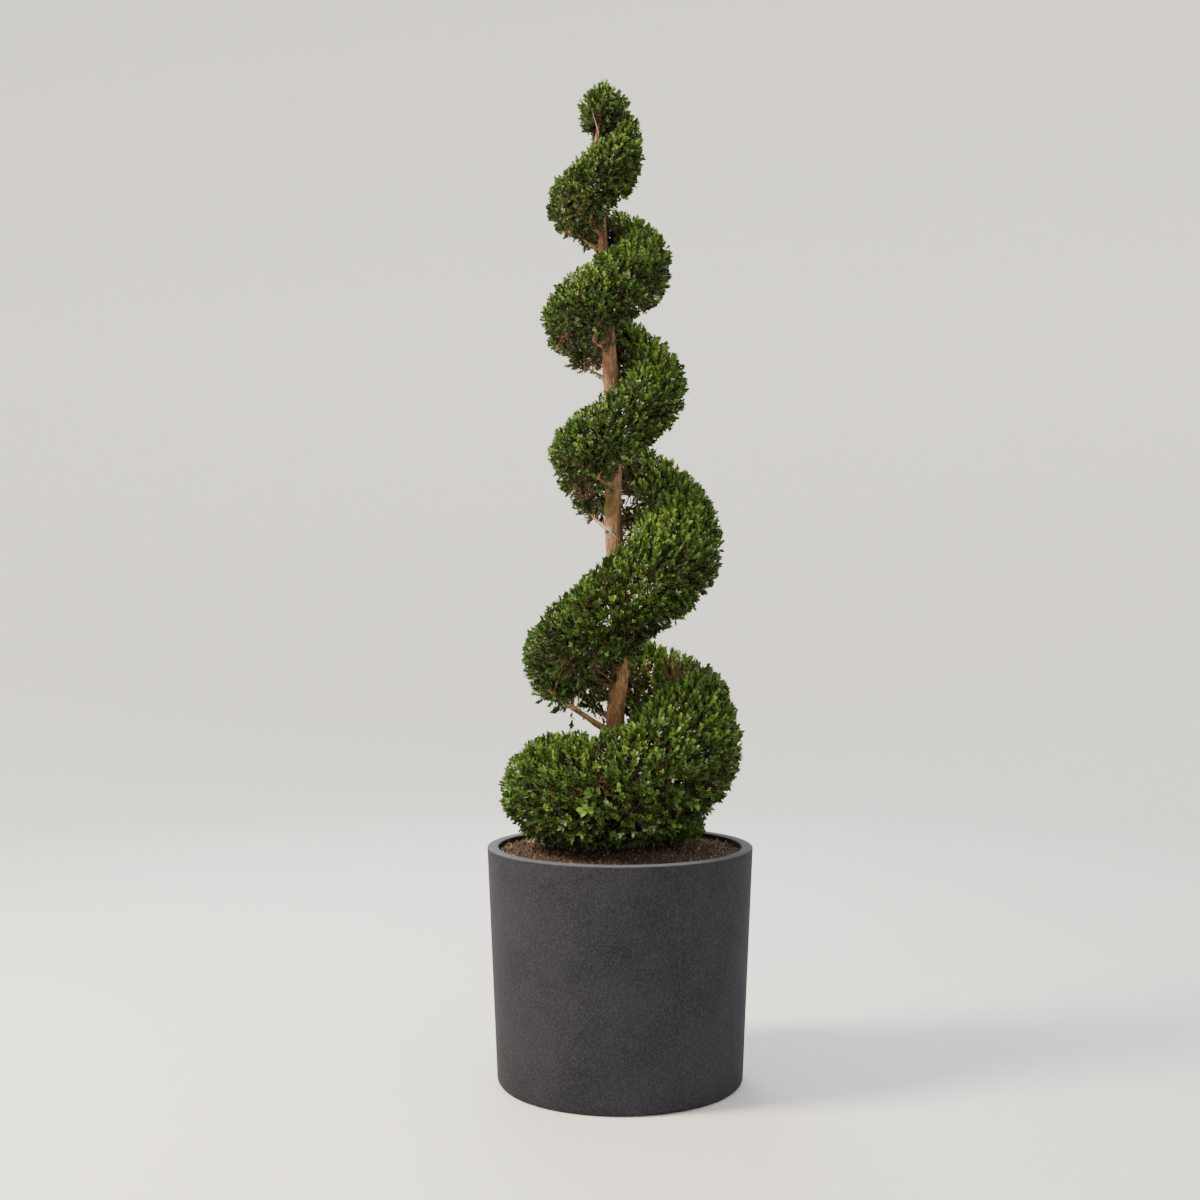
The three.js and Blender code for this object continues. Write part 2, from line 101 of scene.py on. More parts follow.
# The spiral's clipped outline: angle round the trunk in degrees, the height of the turn's
# middle, its reach from the trunk and half its height.
SPIRAL = np.array([1, MM, MM, MM]) * np.array([
    [-20, 530, 150, 20], [0, 545, 190, 28], [45, 566, 208, 52], [90, 592, 215, 74],
    [180, 627, 249, 114], [225, 640, 256, 119], [270, 650, 257, 124], [315, 694, 258, 144],
    [360, 745, 273, 146], [450, 886, 235, 84], [540, 911, 210, 91], [630, 1034, 216, 110],
    [720, 1174, 232, 126], [765, 1248, 214, 122], [810, 1296, 190, 102], [900, 1354, 140, 62],
    [990, 1402, 150, 88], [1080, 1507, 163, 85], [1125, 1558, 160, 92], [1170, 1606, 154, 80],
    [1260, 1642, 142, 72], [1305, 1661, 143, 75], [1350, 1695, 143, 86], [1440, 1766, 147, 84],
    [1485, 1815, 140, 77], [1530, 1857, 129, 58], [1620, 1890, 119, 61], [1665, 1907, 115, 68],
    [1710, 1935, 110, 83], [1800, 2013, 98, 78], [1845, 2038, 88, 66], [1900, 2050, 70, 48],
])
MASS_COUNT = 16
MASS_SPAN = (SPIRAL[-1, 0] - SPIRAL[0, 0]) / MASS_COUNT
INNER_RADIUS = 27 * MM
INNER_SHARE = 0.3
INSET_SHARE = 0.85
CROWN = {"x": -35 * MM, "z": 2097 * MM, "radius": 60 * MM, "half": 65 * MM}
CROWN_POINT = 0.3
CROWN_CARRIERS = (-0.9, 0.4)
LEADER_FOOT = -40 * MM
LEADER_RISE = 25 * MM
# Upright ovals by X, Z, half width and half height: the sky shows through the back of one mass
# right of the trunk, the trunk shows through the crown's front, and three patches of twigs at
# the back are nearly bare.
WINDOW = MM * np.array([18, 1238, 14, 50])
WINDOW_SHARE = 0.06
WINDOW_MASS = 7
HOLLOW = MM * np.array([-49, 2058, 17, 36])
HOLLOW_SHARE = 0.08
BARE_PATCHES = MM * np.array([[123, 885, 28, 40], [-56, 1548, 34, 36], [-82, 1842, 36, 30]])
BARE_SHARE = 0.2
BARE_FROM = -20 * MM
BARE_INWARD = -0.5

# Boughs: the mass each carries, how far below that mass it leaves the trunk, its radius at
# the root and at the tip, its turn in degrees from the mass's middle, and where it comes in
# on the turn's section.
BOUGHS = [
    (4, 42, 5, 3.6, 0, -95), (5, 96, 9, 5.2, 45, -62), (6, 16, 5, 3.6, 0, -95),
    (7, -112, 4.5, 3.4, -40, 160), (8, 60, 5, 3.4, -30, -90), (9, 14, 4.6, 3.2, -35, -95),
    (10, 42, 4.6, 3.2, 0, -95), (11, 50, 4.2, 2.8, 5, -100), (12, 14, 4.2, 3, -35, -95),
    (13, 38, 4, 2.8, 0, -95), (14, 36, 3.2, 2.2, 15, -115), (15, 12, 3.4, 2.4, -35, -95),
    (16, 30, 3.2, 2.2, 0, -95), (5, 45, 5.5, 3.6, -38, -90), (14, 14, 3, 2.2, -20, -115),
]
BOUGH_SAG = 0.03
BOUGH_OUTSTAND = 5 * MM
BOUGH_RINGS = 48
BOUGH_SIDES = 16
BOUGH_KNOB = 0.08
KNOB_HEIGHT = 17 * MM
# Dry bare twigs: one crosses the trunk's front, one stands in the crown's hollow.
DRY_TWIGS = MM * np.array([
    [[6, -11, 1162], [-12, -21, 1179], [-30, -23, 1195], [-47, -12, 1210]],
    [[-43, -14, 2030], [-47, -26, 2046], [-53, -36, 2064], [-59, -42, 2082]],
])
DRY_TWIG_RADII = MM * np.array([[1.7, 1.5, 1.2, 0.7], [1.3, 1.1, 0.9, 0.5]])

# Leaf sprays: one every so much clipped surface, each with pairs of leaves up its stem.
SEED = 20
GOLDEN = 0.618034
JITTER = 0.06
SMALL = 0.001
GRID = 60
AREA_PER_SPRAY = 102 * MM * MM
SPRAY_LENGTH = 30 * MM
# Kinds of spray: how many shapes each has, where its pairs of leaves sit, its leaf's length and
# width, and how many degrees leaves spread at the stem's foot and at its tip.
SPRAYS = {
    "plain": (8, (0.18, 0.44, 0.64, 0.79, 0.91, 1.0), 11.5 * MM, 5 * MM, 44, 20),
    "round": (6, (0.2, 0.42, 0.6, 0.75, 0.88, 1.0), 9.2 * MM, 6.2 * MM, 56, 34),
    "lush": (3, (0.45, 0.75, 1.0), 17 * MM, 10.5 * MM, 62, 35),
    "pale": (3, (0.88, 1.0), 11 * MM, 5 * MM, 50, 30),
}
# A leaf's outline as shares of its width and length, its fold, and how much leaves on one stem
# differ: in bearing, in degrees of spread, in size and in roll.
LEAF_OUTLINE = [(0.44, 0.32), (0.42, 0.74)]
LEAF_FOLD = 0.35
BEARING_STRAY = 0.25
SPREAD_STRAY = 10
LEAF_SIZES = (0.8, 1.15)
LEAF_ROLL = 0.3
# The share of round-leaved sprays rises between these heights.
ROUND_HEIGHTS = (1000 * MM, 1750 * MM)
ROUND_SHARE = 0.85
# Share of sprays and how deep their stems end under the outline, from the outer layer in.
LAYERS = [(0.60, 1 * MM, 10 * MM), (0.25, 11 * MM, 28 * MM), (0.15, 28 * MM, 62 * MM)]

# Sprays are smaller higher up: their size at two heights, and its spread about that.
SIZE_HEIGHTS = (560 * MM, 2100 * MM)
SIZES_THERE = (1.04, 0.7)
SPRAY_SIZES = (0.78, 1.22)
SPRAY_LEAN = 0.45
SPRAY_RISE = 0.45
NORMAL_STEP = 15 * MM
# Twigs stay bare below, by the trunk and in small gaps: less so on the sunny front than at
# this bearing in degrees.
THIN_BELOW = 0.6
THIN_INSIDE = 0.75
SHADIEST = 120
SUNNY_THIN = 0.3
THIN_IN_GAPS = 0.3
GAPS_PER_METRE = 26
GAP_CONTRAST = 3
GAP_DEPTH = 8 * MM
LIMB_CLEARANCE = 5 * MM
# Bigger, younger leaves low on the front of the first turn, and a sprout in the soil.
LUSH_HEIGHT = 660 * MM
LUSH_FRONT = -120 * MM
LUSH_SHARE = 0.06
SPROUT = {"x": -31 * MM, "y": -135 * MM, "growth": (0.3, -0.3, 1.0), "size": 0.6, "tone": 4.0}

# Shoots straight from a bough's outer part and from the trunk under each mass, and how far they
# run on with the bough, upwards and astray.
BOUGH_SHOOTS_PER_METRE = 380
BOUGH_SHOOT_RUN = (0.66, 1.0)
BOUGH_SHOOT_LEAFY = 0.8
BOUGH_SHOOT_ONWARD = 0.8
BOUGH_SHOOT_RISE = (0, 0, 0.5)
TRUNK_SHOOTS = 16
TRUNK_SHOOT_RISE = (0, 0, 0.8)
TRUNK_SHOOT_STRAY = 0.4
TRUNK_SHOOT_DROPS = (-35 * MM, 20 * MM)
SHOOT_LENGTHS = (24 * MM, 42 * MM)

# Twigs: forks from the limbs to anchors inside each mass, and shoots from those to the sprays.
AREA_PER_TWIG = 3000 * MM * MM
TWIG_DEPTHS = (28 * MM, 62 * MM)
TWIG_STEPS = 6
TWIG_BEND = 0.06
FORK_EARLY = 0.45
FORK_DROP = 35 * MM
FORK_TOP = 0.4
FORK_RADII = 1.9 * MM * np.linspace(1, 0.45, TWIG_STEPS)
FORK_SIDES = 4
SHOOT_BEND = 0.4
SHOOT_RADII = 0.9 * MM * np.array([1, 0.8, 0.35])
SHOOT_SIDES = 3
LIMB_RADIUS = 3.6 * MM
LIMB_STEPS = 12
LIMB_SIDES = 8
SPINE_RUN = 0.46
SPINE_TAPER = (0.9, 0.4)
STEM_TAPER = (1.0, 0.9)
STEM_RISE = 20 * MM
STEM_BEND = 0.06
LOW_MASSES = 7

# How a spray's finish is dealt: its middle place in the list below, and what moves it.
MIDDLE_TONE = 2.8
PATCH_TONE = 1.2
LAYER_TONE = 1.1
LUSH_TONE = 1.3
TONE_SPREAD = 0.9
PATCHES_PER_METRE = 16
PALE_SHARE = 0.035
LEAF_SURFACE = {"Roughness": 0.5, "Specular_IOR_Level": 0.35}

# Leaf finishes from the oldest inside, partly painted shade, to the youngest at the tips, partly
# painted light, then pale grey-green undersides that are partly painted glints.
LEAF_FINISHES = {
    "deep": "#1c230d", "dark": "#293713", "shade": "#364a1c", "green": "#435e23",
    "fresh": "#58772d", "bright": "#76933a", "silver": "#788862",
}
YOUNG_AND_LIT_TONE = len(LEAF_FINISHES) - 2
UNDERSIDE_AND_GLINT_TONE = len(LEAF_FINISHES) - 1
# Bark from its cracks to its ridges. The trunk's changes over the first heights, and below the
# second it is darkened as painted shade under the lowest turn of leaves.
BARK_STOPS = (0.3, 0.46, 0.6, 0.8)
LOW_BARK = ("#4d3624", "#80603f", "#a6815a", "#cdaa82")
HIGH_BARK = ("#4c3525", "#7c5b41", "#997658", "#c09b79")
LIMB_BARK = ("#5b4330", "#8c6b4e", "#ae8b69", "#d3b08c")
BARK_CHANGE = (880 * MM, 1150 * MM)
FOOT_DARK = (640 * MM, 730 * MM)
SOIL_STOPS = (0.25, 0.55, 0.8)
SOIL_COLOURS = ("#20160e", "#3f2d1f", "#5c4431")

# Soil grains: colour, width in millimetres, flatness, length and count per square metre.
GRAINS = {
    "crumbs": ("#4a392a", 6.5, 0.8, 1.2, 7500),
    "fibres": ("#5c4a3a", 2.8, 0.5, 6.5, 4200),
    "chips": ("#8c745b", 6, 0.35, 2.6, 1500),
}
GRAIN_SIZES = (0.5, 1.4)
GRAIN_SHAPES = 5
GRAIN_SIDES = 6
GRAIN_PROFILE = [(0, -1), (0.75, -0.55), (1, 0.1), (0.6, 0.8), (0, 1)]
GRAIN_ROUGHNESS = 0.25

# Studio: the paper sweep, the lights' places, widths, powers and tints, and the camera.
SWEEP_RADIUS = 7
SWEEP_ROUND = 2.5
SWEEP_HEIGHT = 7
SWEEP_MIDDLE = 10 * MM
SWEEP_SIDES = 96
SWEEP_STEPS = 16
LIGHTS = {
    "key": ((-3.4, -1.1, 4.3), 1.5, 535, "#fff3dc"),
    "fill": ((3.0, -2.8, 2.0), 3.0, 12, "#eef4ff"),
    "back": ((-0.5, 3.4, 3.6), 2.4, 110, "#ffffff"),
}
LIGHTS_AIM = (0, 0, 1.1)
SKY_TINT = "#f4f6fa"
SKY_STRENGTH = 0.78
CAMERA_PLACE = (-43.3 * MM, -3.61, 1.062)
CAMERA_PITCH = -0.344
CAMERA_LENS = 50

rng = np.random.default_rng(SEED)


# Curves of the plant

def along(table, at):
    """A smooth curve through a table's rows, whose first column is the place along it."""
    at = np.asarray(at, float)
    ends = table[[0, *range(len(table)), -1]]
    chords = ends[2:] - ends[:-2]
    slopes = chords / chords[:, :1]
    i = np.clip(np.searchsorted(table[:, 0], at) - 1, 0, len(table) - 2)
    low, high = table[i], table[i + 1]
    step = (high - low)[..., :1]
    t = np.clip((at[..., None] - low[..., :1]) / step, 0, 1)
    rise = high - low
    a = slopes[i] * step
    b = slopes[i + 1] * step
    value = low + t * (a + t * ((3 * rise - 2 * a - b) + t * (a + b - 2 * rise)))
    return np.moveaxis(value[..., 1:], -1, 0)


def spiral_at(angle):
    height, reach, half = along(SPIRAL, angle)
    inner = np.minimum(INNER_RADIUS, reach * INNER_SHARE)
    return height, half, (reach + inner) / 2, (reach - inner) / 2


def round_trunk(angle, reach, height):
    """The point at this angle, reach and height about the leaning trunk."""
    bearing = np.radians(angle)
    lean = along(TRUNK, height)[0]
    return np.stack([lean + reach * np.cos(bearing), reach * np.sin(bearing), height], -1)


def outline_point(angle, turn, depth):
    """A point of the turn's section, turned from its outer edge, this deep under the outline."""
    height, half, middle, width = spiral_at(angle)
    inset = np.minimum(depth, INSET_SHARE * np.minimum(half, width))
    z = height + (half - inset) * np.sin(np.radians(turn))
    reach = middle + (width - inset) * np.cos(np.radians(turn))
    return round_trunk(angle, reach, z)


def heart_at(angle):
    height, _, middle, _ = spiral_at(angle)
    return round_trunk(angle, middle, height)


def crown_point(angle, turn, depth):
    """A point of the crown tuft, its turn rising from -90 at the bottom to 90 at the top."""
    lift = np.radians(turn)
    narrowed = 1 - CROWN_POINT * np.maximum(0, np.sin(lift))
    reach = (CROWN["radius"] - depth) * np.cos(lift) * narrowed
    z = CROWN["z"] + (CROWN["half"] - depth) * np.sin(lift)
    x = CROWN["x"] + reach * np.cos(np.radians(angle))
    return np.stack([x, reach * np.sin(np.radians(angle)), z], -1)


def unit(vectors):
    return vectors / np.linalg.norm(vectors, axis=-1, keepdims=True)


def bezier(start, bend, end, count):
    """Points along a curve that leaves start, leans to bend and comes in to end."""
    t = np.linspace(0, 1, count)[:, None]
    start, bend, end = (np.asarray(p)[..., None, :] for p in (start, bend, end))
    return (1 - t) ** 2 * start + 2 * t * (1 - t) * bend + t ** 2 * end


# Meshes

def added(name, data):
    """An object with this data, at the origin of the scene."""
    made = bpy.data.objects.new(name, data)
    bpy.context.scene.collection.objects.link(made)
    return made


def piece(name, points, faces, material):
    """A mesh object of its own, with its place in its mesh."""
    mesh = bpy.data.meshes.new(name)
    mesh.from_pydata(np.asarray(points).tolist(), [], faces)
    mesh.polygons.foreach_set("use_smooth", [True] * len(mesh.polygons))
    mesh.materials.append(material)
    mesh.update()
    return added(name, mesh)


def settle(made, slot, *nodes):
    """The piece moves with the whole plant and stands for its nodes, which it hides."""
    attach(made, "root")
    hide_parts(*nodes)
    return made


def ring_faces(rings, sides, first=0):
    """Four-sided faces between rings of points that run counter-clockwise, going up."""
    faces = []
    for i in range(rings - 1):
        low = first + i * sides
        for j in range(sides):
            k = (j + 1) % sides
            faces.append((low + j, low + k, low + sides + k, low + sides + j))
    return faces


def circles(profile, sides):
    """Level rings of points about the axis, one for each radius and height."""
    turns = 2 * np.pi * np.arange(sides) / sides
    return [np.stack([r * np.cos(turns), r * np.sin(turns), np.full(sides, z)], -1)
            for r, z in profile]


def turned(profile, sides):
    """A closed body from a profile of radius and height that starts and ends on the axis."""
    rings = circles(profile[1:-1], sides)
    points = np.concatenate([[[0, 0, profile[0][1]]], *rings, [[0, 0, profile[-1][1]]]])
    faces = ring_faces(len(rings), sides, 1)
    top = 1 + (len(rings) - 1) * sides
    for j in range(sides):
        k = (j + 1) % sides
        faces.append((0, 1 + k, 1 + j))
        faces.append((len(points) - 1, top + j, top + k))
    return points, faces


def tubes(paths, radii, sides):
    """Closed tubes along many paths of as many points each."""
    paths = np.asarray(paths)
    count, steps, _ = paths.shape
    radii = np.broadcast_to(radii, (count, steps))
    forward = unit(np.gradient(paths, axis=1))
    whole = unit(paths[:, -1] - paths[:, 0])
    helper = np.where(np.abs(whole[:, 2:]) > 0.9, [[1.0, 0, 0]], [[0, 0, 1.0]])
    u = unit(np.cross(helper[:, None], forward))
    v = np.cross(forward, u)
    turns = 2 * np.pi * np.arange(sides) / sides
    spoke = (u[:, :, None] * np.cos(turns)[:, None] + v[:, :, None] * np.sin(turns)[:, None])
    points = (paths[:, :, None] + radii[:, :, None, None] * spoke).reshape(-1, 3)
    one = np.array(ring_faces(steps, sides))
    starts = np.arange(count) * steps * sides
    faces = (starts[:, None, None] + one).reshape(-1, 4).tolist()
    foot = np.arange(sides)[::-1]
    tip = (steps - 1) * sides + np.arange(sides)
    faces += (starts[:, None] + foot).tolist() + (starts[:, None] + tip).tolist()
    return points, faces


# Node trees

def colour(code):
    """A screen colour such as #24401a as the linear colour that a material takes."""
    shares = [int(code[i:i + 2], 16) / 255 for i in (1, 3, 5)]
    return *(s / 12.92 if s < 0.04045 else ((s + 0.055) / 1.055) ** 2.4 for s in shares), 1.0


class Socket:
    """A value in a node tree: Python's operators on it add Math nodes."""

    def __init__(self, tree, link):
        self.tree = tree
        self.link = link

    def math(self, operation, *values):
        return self.tree.add("ShaderNodeMath", {"operation": operation}, dict(enumerate(values)))

    def __add__(self, other):
        return self.math("ADD", self, other)

    def __sub__(self, other):
        return self.math("SUBTRACT", self, other)

    def __rsub__(self, other):
        return self.math("SUBTRACT", other, self)

    def __mul__(self, other):
        return self.math("MULTIPLY", self, other)

    __radd__ = __add__


class Tree:
    """A node tree: add makes a node from its kind, its settings and its inputs."""

    def __init__(self, tree):
        self.tree = tree

    def add(self, kind, settings=None, inputs=None, output=0):
        node = self.tree.nodes.new(kind)
        for name, value in (settings or {}).items():
            setattr(node, name, value)
        for key, value in (inputs or {}).items():
            if isinstance(value, Socket):
                self.tree.links.new(value.link, node.inputs[key])
            else:
                node.inputs[key].default_value = value
        return Socket(self, node.outputs[output]) if len(node.outputs) else node

    def stretched(self, vector, scale):
        """The place with each axis scaled, to draw a pattern out along one of them."""
        return self.add("ShaderNodeVectorMath", {"operation": "MULTIPLY"}, {0: vector, 1: scale})

    def noise(self, vector, scale, detail=3, roughness=0.5):
        inputs = {"Vector": vector, "Scale": scale, "Detail": detail, "Roughness": roughness}
        return self.add("ShaderNodeTexNoise", None, inputs)

    def between(self, value, low, high):
        """0 under low, rising to 1 over high."""
        inputs = {"Value": value, "From Min": low, "From Max": high}
        return self.add("ShaderNodeMapRange", None, inputs)

    def mix(self, factor, a, b):
        """A blend of two colours, each one a socket or a screen colour."""
        a, b = (colour(c) if isinstance(c, str) else c for c in (a, b))
        return self.add("ShaderNodeMix", {"data_type": "RGBA"}, {0: factor, 6: a, 7: b}, 2)

    def ramp(self, value, places, colours):
        made = self.add("ShaderNodeValToRGB", None, {0: value})
        stops = made.link.node.color_ramp.elements
        while len(stops) < len(places):
            stops.new(0)
        for stop, place, code in zip(stops, places, colours):
            stop.position = place
            stop.color = colour(code)
        return made

    def axis(self, vector, name):
        return self.add("ShaderNodeSeparateXYZ", None, {0: vector}, name)

    def bump(self, height, distance, strength=1.0):
        inputs = {"Height": height, "Distance": distance, "Strength": strength}
        return self.add("ShaderNodeBump", None, inputs)


def finish(name, paint=None, **constants):
    """A material: its constants are set on the shader, and paint links what varies by place."""
    material = bpy.data.materials.new(name)
    material.use_nodes = True
    tree = Tree(material.node_tree)
    shader = material.node_tree.nodes["Principled BSDF"]
    for key, value in constants.items():
        value = colour(value) if isinstance(value, str) else value
        shader.inputs[key.replace("_", " ")].default_value = value
    if paint:
        place = tree.add("ShaderNodeTexCoord", output="Object")
        for key, socket in paint(tree, place).items():
            material.node_tree.links.new(socket.link, shader.inputs[key])
    return material


# Finishes

def paint_limb(tree, place):
    """Paler young bark with fibres that run up the limb."""
    fibre = tree.noise(tree.stretched(place, (1, 1, 0.3)), 380, 5, 0.62)
    return {
        "Base Color": tree.ramp(fibre, BARK_STOPS, LIMB_BARK),
        "Roughness": 0.74 + fibre * 0.2,
        "Normal": tree.bump(fibre, 1 * MM, 0.8),
    }


def paint_bark(tree, place):
    """Fibres and cracks that run up the limb, a grey scar, and moss on the shaded left side."""
    fibre = tree.noise(tree.stretched(place, (1, 1, 0.12)), 420, 5, 0.62)
    flakes = tree.noise(tree.stretched(place, (1, 1, 0.35)), 150, 4, 0.6)
    plates = tree.add("ShaderNodeTexVoronoi", {"feature": "DISTANCE_TO_EDGE"},
                      {"Vector": tree.stretched(place, (1, 1, 0.3)), "Scale": 210.0})
    cracks = 1 - tree.between(plates + flakes * 0.12, 0.05, 0.16)
    patches = tree.noise(place, 17, 2)
    height = tree.axis(place, "Z")
    grain = fibre * 0.55 + flakes * 0.45
    low, high = (tree.ramp(grain, BARK_STOPS, bark) for bark in (LOW_BARK, HIGH_BARK))
    grown = tree.mix(tree.between(height, *BARK_CHANGE), low, high)
    # Painted shade: the trunk's foot, under the lowest turn of leaves, is darkened towards dark
    # brown.
    painted_foot_shade = 1 - tree.between(height, *FOOT_DARK)
    base = tree.mix(painted_foot_shade * 0.8, grown, "#2c2017")
    grey = tree.mix(tree.between(patches, 0.5, 0.72) * 0.4, base, "#8b7c6b")
    scar = tree.add("ShaderNodeVectorMath", {"operation": "DISTANCE"}, {0: place, 1: SCAR}, "Value")
    lip = tree.mix((1 - tree.between(scar, 9 * MM, 15 * MM)) * 0.9, grey, "#928d85")
    healed = tree.mix(1 - tree.between(scar, 4 * MM, 7 * MM), lip, "#40382f")
    split = tree.mix(cracks * 0.4, healed, "#2b1c12")
    mossy = 0
    for low, high in MOSS_HEIGHTS:
        rise = tree.between(height, low, low + MOSS_FADE)
        mossy = mossy + rise * (1 - tree.between(height, high - MOSS_FADE, high))
    left = tree.between(tree.axis(place, "X") * -1, 4 * MM, 20 * MM)
    moss = mossy * left * tree.between(tree.noise(place, 45, 3), 0.36, 0.52) * 0.85
    return {
        "Base Color": tree.mix(moss, split, "#453f17"),
        "Roughness": 0.74 + fibre * 0.2,
        "Normal": tree.bump(fibre + flakes - cracks * 0.5, 1.2 * MM, 0.8),
    }


def paint_planter(tree, place):
    """Cast fibre clay: a fine pale speckle, cloudy patches, and a paler rim, partly wear and partly
    painted highlight.
    """
    cloud = tree.noise(place, 7, 4, 0.6)
    grain = tree.noise(place, 520, 2, 0.7)
    specks = tree.add("ShaderNodeTexVoronoi", None, {"Vector": place, "Scale": 330.0})
    pale = (1 - tree.between(specks, 0.12, 0.2)) * tree.between(tree.noise(place, 90, 2), 0.46, 0.6)
    height = tree.axis(place, "Z")
    rim = tree.between(height, POT_HEIGHT - 3 * MM, POT_HEIGHT - 0.5 * MM)
    mottle = tree.between(tree.noise(place, 260, 2, 0.6), 0.4, 0.62)
    clay = tree.mix(tree.between(cloud, 0.3, 0.7), "#232327", "#2d2d33")
    clay = tree.mix(mottle * 0.45, clay, "#3f3f46")
    # The rim's top is paled towards grey, partly as wear and partly as a painted highlight where it
    # faces the light.
    rim_wear_and_highlight = tree.mix(rim * 0.6, clay, "#6d7078")
    return {
        "Base Color": tree.mix(pale * 0.35, rim_wear_and_highlight, "#7b7d81"),
        "Roughness": 0.5 + grain * 0.25,
        "Normal": tree.bump(grain + pale * 0.3, 0.25 * MM, 0.8),
    }


def paint_soil(tree, place):
    clods = tree.noise(place, 75, 5, 0.7)
    grit = tree.noise(place, 420, 3, 0.7)
    base = tree.ramp(clods * 0.5 + grit * 0.5, SOIL_STOPS, SOIL_COLOURS)
    return {"Base Color": base, "Normal": tree.bump(clods + grit, 3 * MM)}


BARK = finish("bark", paint_bark, Specular_IOR_Level=0.3)
LIMB = finish("limb bark", paint_limb, Specular_IOR_Level=0.3)
CLAY = finish("fibre clay", paint_planter, Specular_IOR_Level=0.03)
EARTH = finish("potting soil", paint_soil, Roughness=0.95)
TWIG_BARK = finish("twig bark", Base_Color="#7c5d42", Roughness=0.8)
FORK_BARK = finish("fork bark", Base_Color="#936f50", Roughness=0.8)
DRY_BARK = finish("dry twig bark", Base_Color="#b5a48c", Roughness=0.8)


# Planter and soil

def wall_at(height):
    return FOOT_RADIUS + (RIM_RADIUS - FOOT_RADIUS) * height / POT_HEIGHT


def corner(centre, radius, start, end, steps):
    """Points of radius and height round a corner, from one angle in degrees to another."""
    turns = np.radians(np.linspace(start, end, steps + 1))
    return [(centre[0] + radius * math.cos(t), centre[1] + radius * math.sin(t)) for t in turns]


def planter():
    rim_outer = wall_at(POT_HEIGHT - RIM_ROUND) - RIM_ROUND
    rim_inner = RIM_RADIUS - POT_WALL + RIM_ROUND
    foot = corner((wall_at(FOOT_ROUND) - FOOT_ROUND, FOOT_ROUND), FOOT_ROUND, -90, 0, FOOT_STEPS)
    rows = np.linspace(FOOT_ROUND, POT_HEIGHT - RIM_ROUND, POT_ROWS)[1:-1]
    wall = [(wall_at(z), z) for z in rows]
    rim = corner((rim_outer, POT_HEIGHT - RIM_ROUND), RIM_ROUND, 0, 90, RIM_STEPS)
    lip = corner((rim_inner, POT_HEIGHT - RIM_ROUND), RIM_ROUND, 90, 180, RIM_STEPS)
    inside = [(wall_at(POT_FLOOR) - POT_WALL, POT_FLOOR), (0, POT_FLOOR)]
    points, faces = turned([(0, 0), *foot, *wall, *rim, *lip, *inside], POT_SIDES)
    settle(piece("planter_shell", points, faces, CLAY), "planter", "planter")


def soil_reach(height):
    return wall_at(height) - POT_WALL - SOIL_GAP


def soil_height(reach):
    """The mound's height at this reach from the trunk."""
    edge = soil_reach(SOIL_EDGE)
    share = np.clip((reach - SOIL_FLAT_RADIUS) / (edge - SOIL_FLAT_RADIUS), 0, 1)
    return SOIL_TOP + (SOIL_EDGE - SOIL_TOP) * share ** 2


def soil():
    """The mound, its top roughened, and the bed under it down to the planter's floor."""
    bottom = POT_FLOOR + SOIL_GAP
    reaches = soil_reach(SOIL_EDGE) * (1 - np.linspace(0, 1, SOIL_RINGS + 1)[:-1])
    profile = [(0, bottom), (soil_reach(bottom), bottom)]
    profile += [(r, float(soil_height(r))) for r in reaches] + [(0, SOIL_TOP)]
    points, faces = turned(profile, SOIL_SIDES)
    for point in points[1 + SOIL_SIDES:]:
        spot = (LUMPS_PER_METRE * point[0], LUMPS_PER_METRE * point[1], 0)
        point[2] += LUMP_HEIGHT * noise.fractal(spot, *LUMP_FRACTAL)
    return settle(piece("soil_bed", points, faces, EARTH), "soil", "soil")


# Trunk and boughs

def bark_relief(turn, run, sizes):
    """Wandering ridges, as a share of the limb's radius."""
    relief = 0
    for ridges, depth, wander, pitch in sizes:
        drift = wander * np.sin(run / pitch + ridges)
        relief = relief + depth * (1 - 2 * np.abs(np.sin(ridges * turn / 2 + drift)))
    return relief


def bough_curves():
    """The curve of each bough, from the trunk's axis to its mass's underside."""
    curves = []
    for number, drop, root, tip, turn, entry in BOUGHS:
        middle = SPIRAL[0, 0] + (number - 0.5) * MASS_SPAN
        angle = middle + turn
        end = outline_point(angle, entry, -BOUGH_OUTSTAND)
        height, half, _, _ = spiral_at(angle)
        start = round_trunk(angle, 0 * height, height - half - drop * MM)
        bend = (start + end) / 2
        bend[2] -= BOUGH_SAG * np.linalg.norm(end - start)
        curves.append({
            "mass": number, "angle": angle, "root": root * MM, "tip": tip * MM,
            "path": bezier(start, bend, end, BOUGH_RINGS),
        })
    return curves


def turn_from(turn, bearing):
    """How far round the limb one direction is from another, at most half a turn."""
    return (turn - bearing + np.pi) % (2 * np.pi) - np.pi


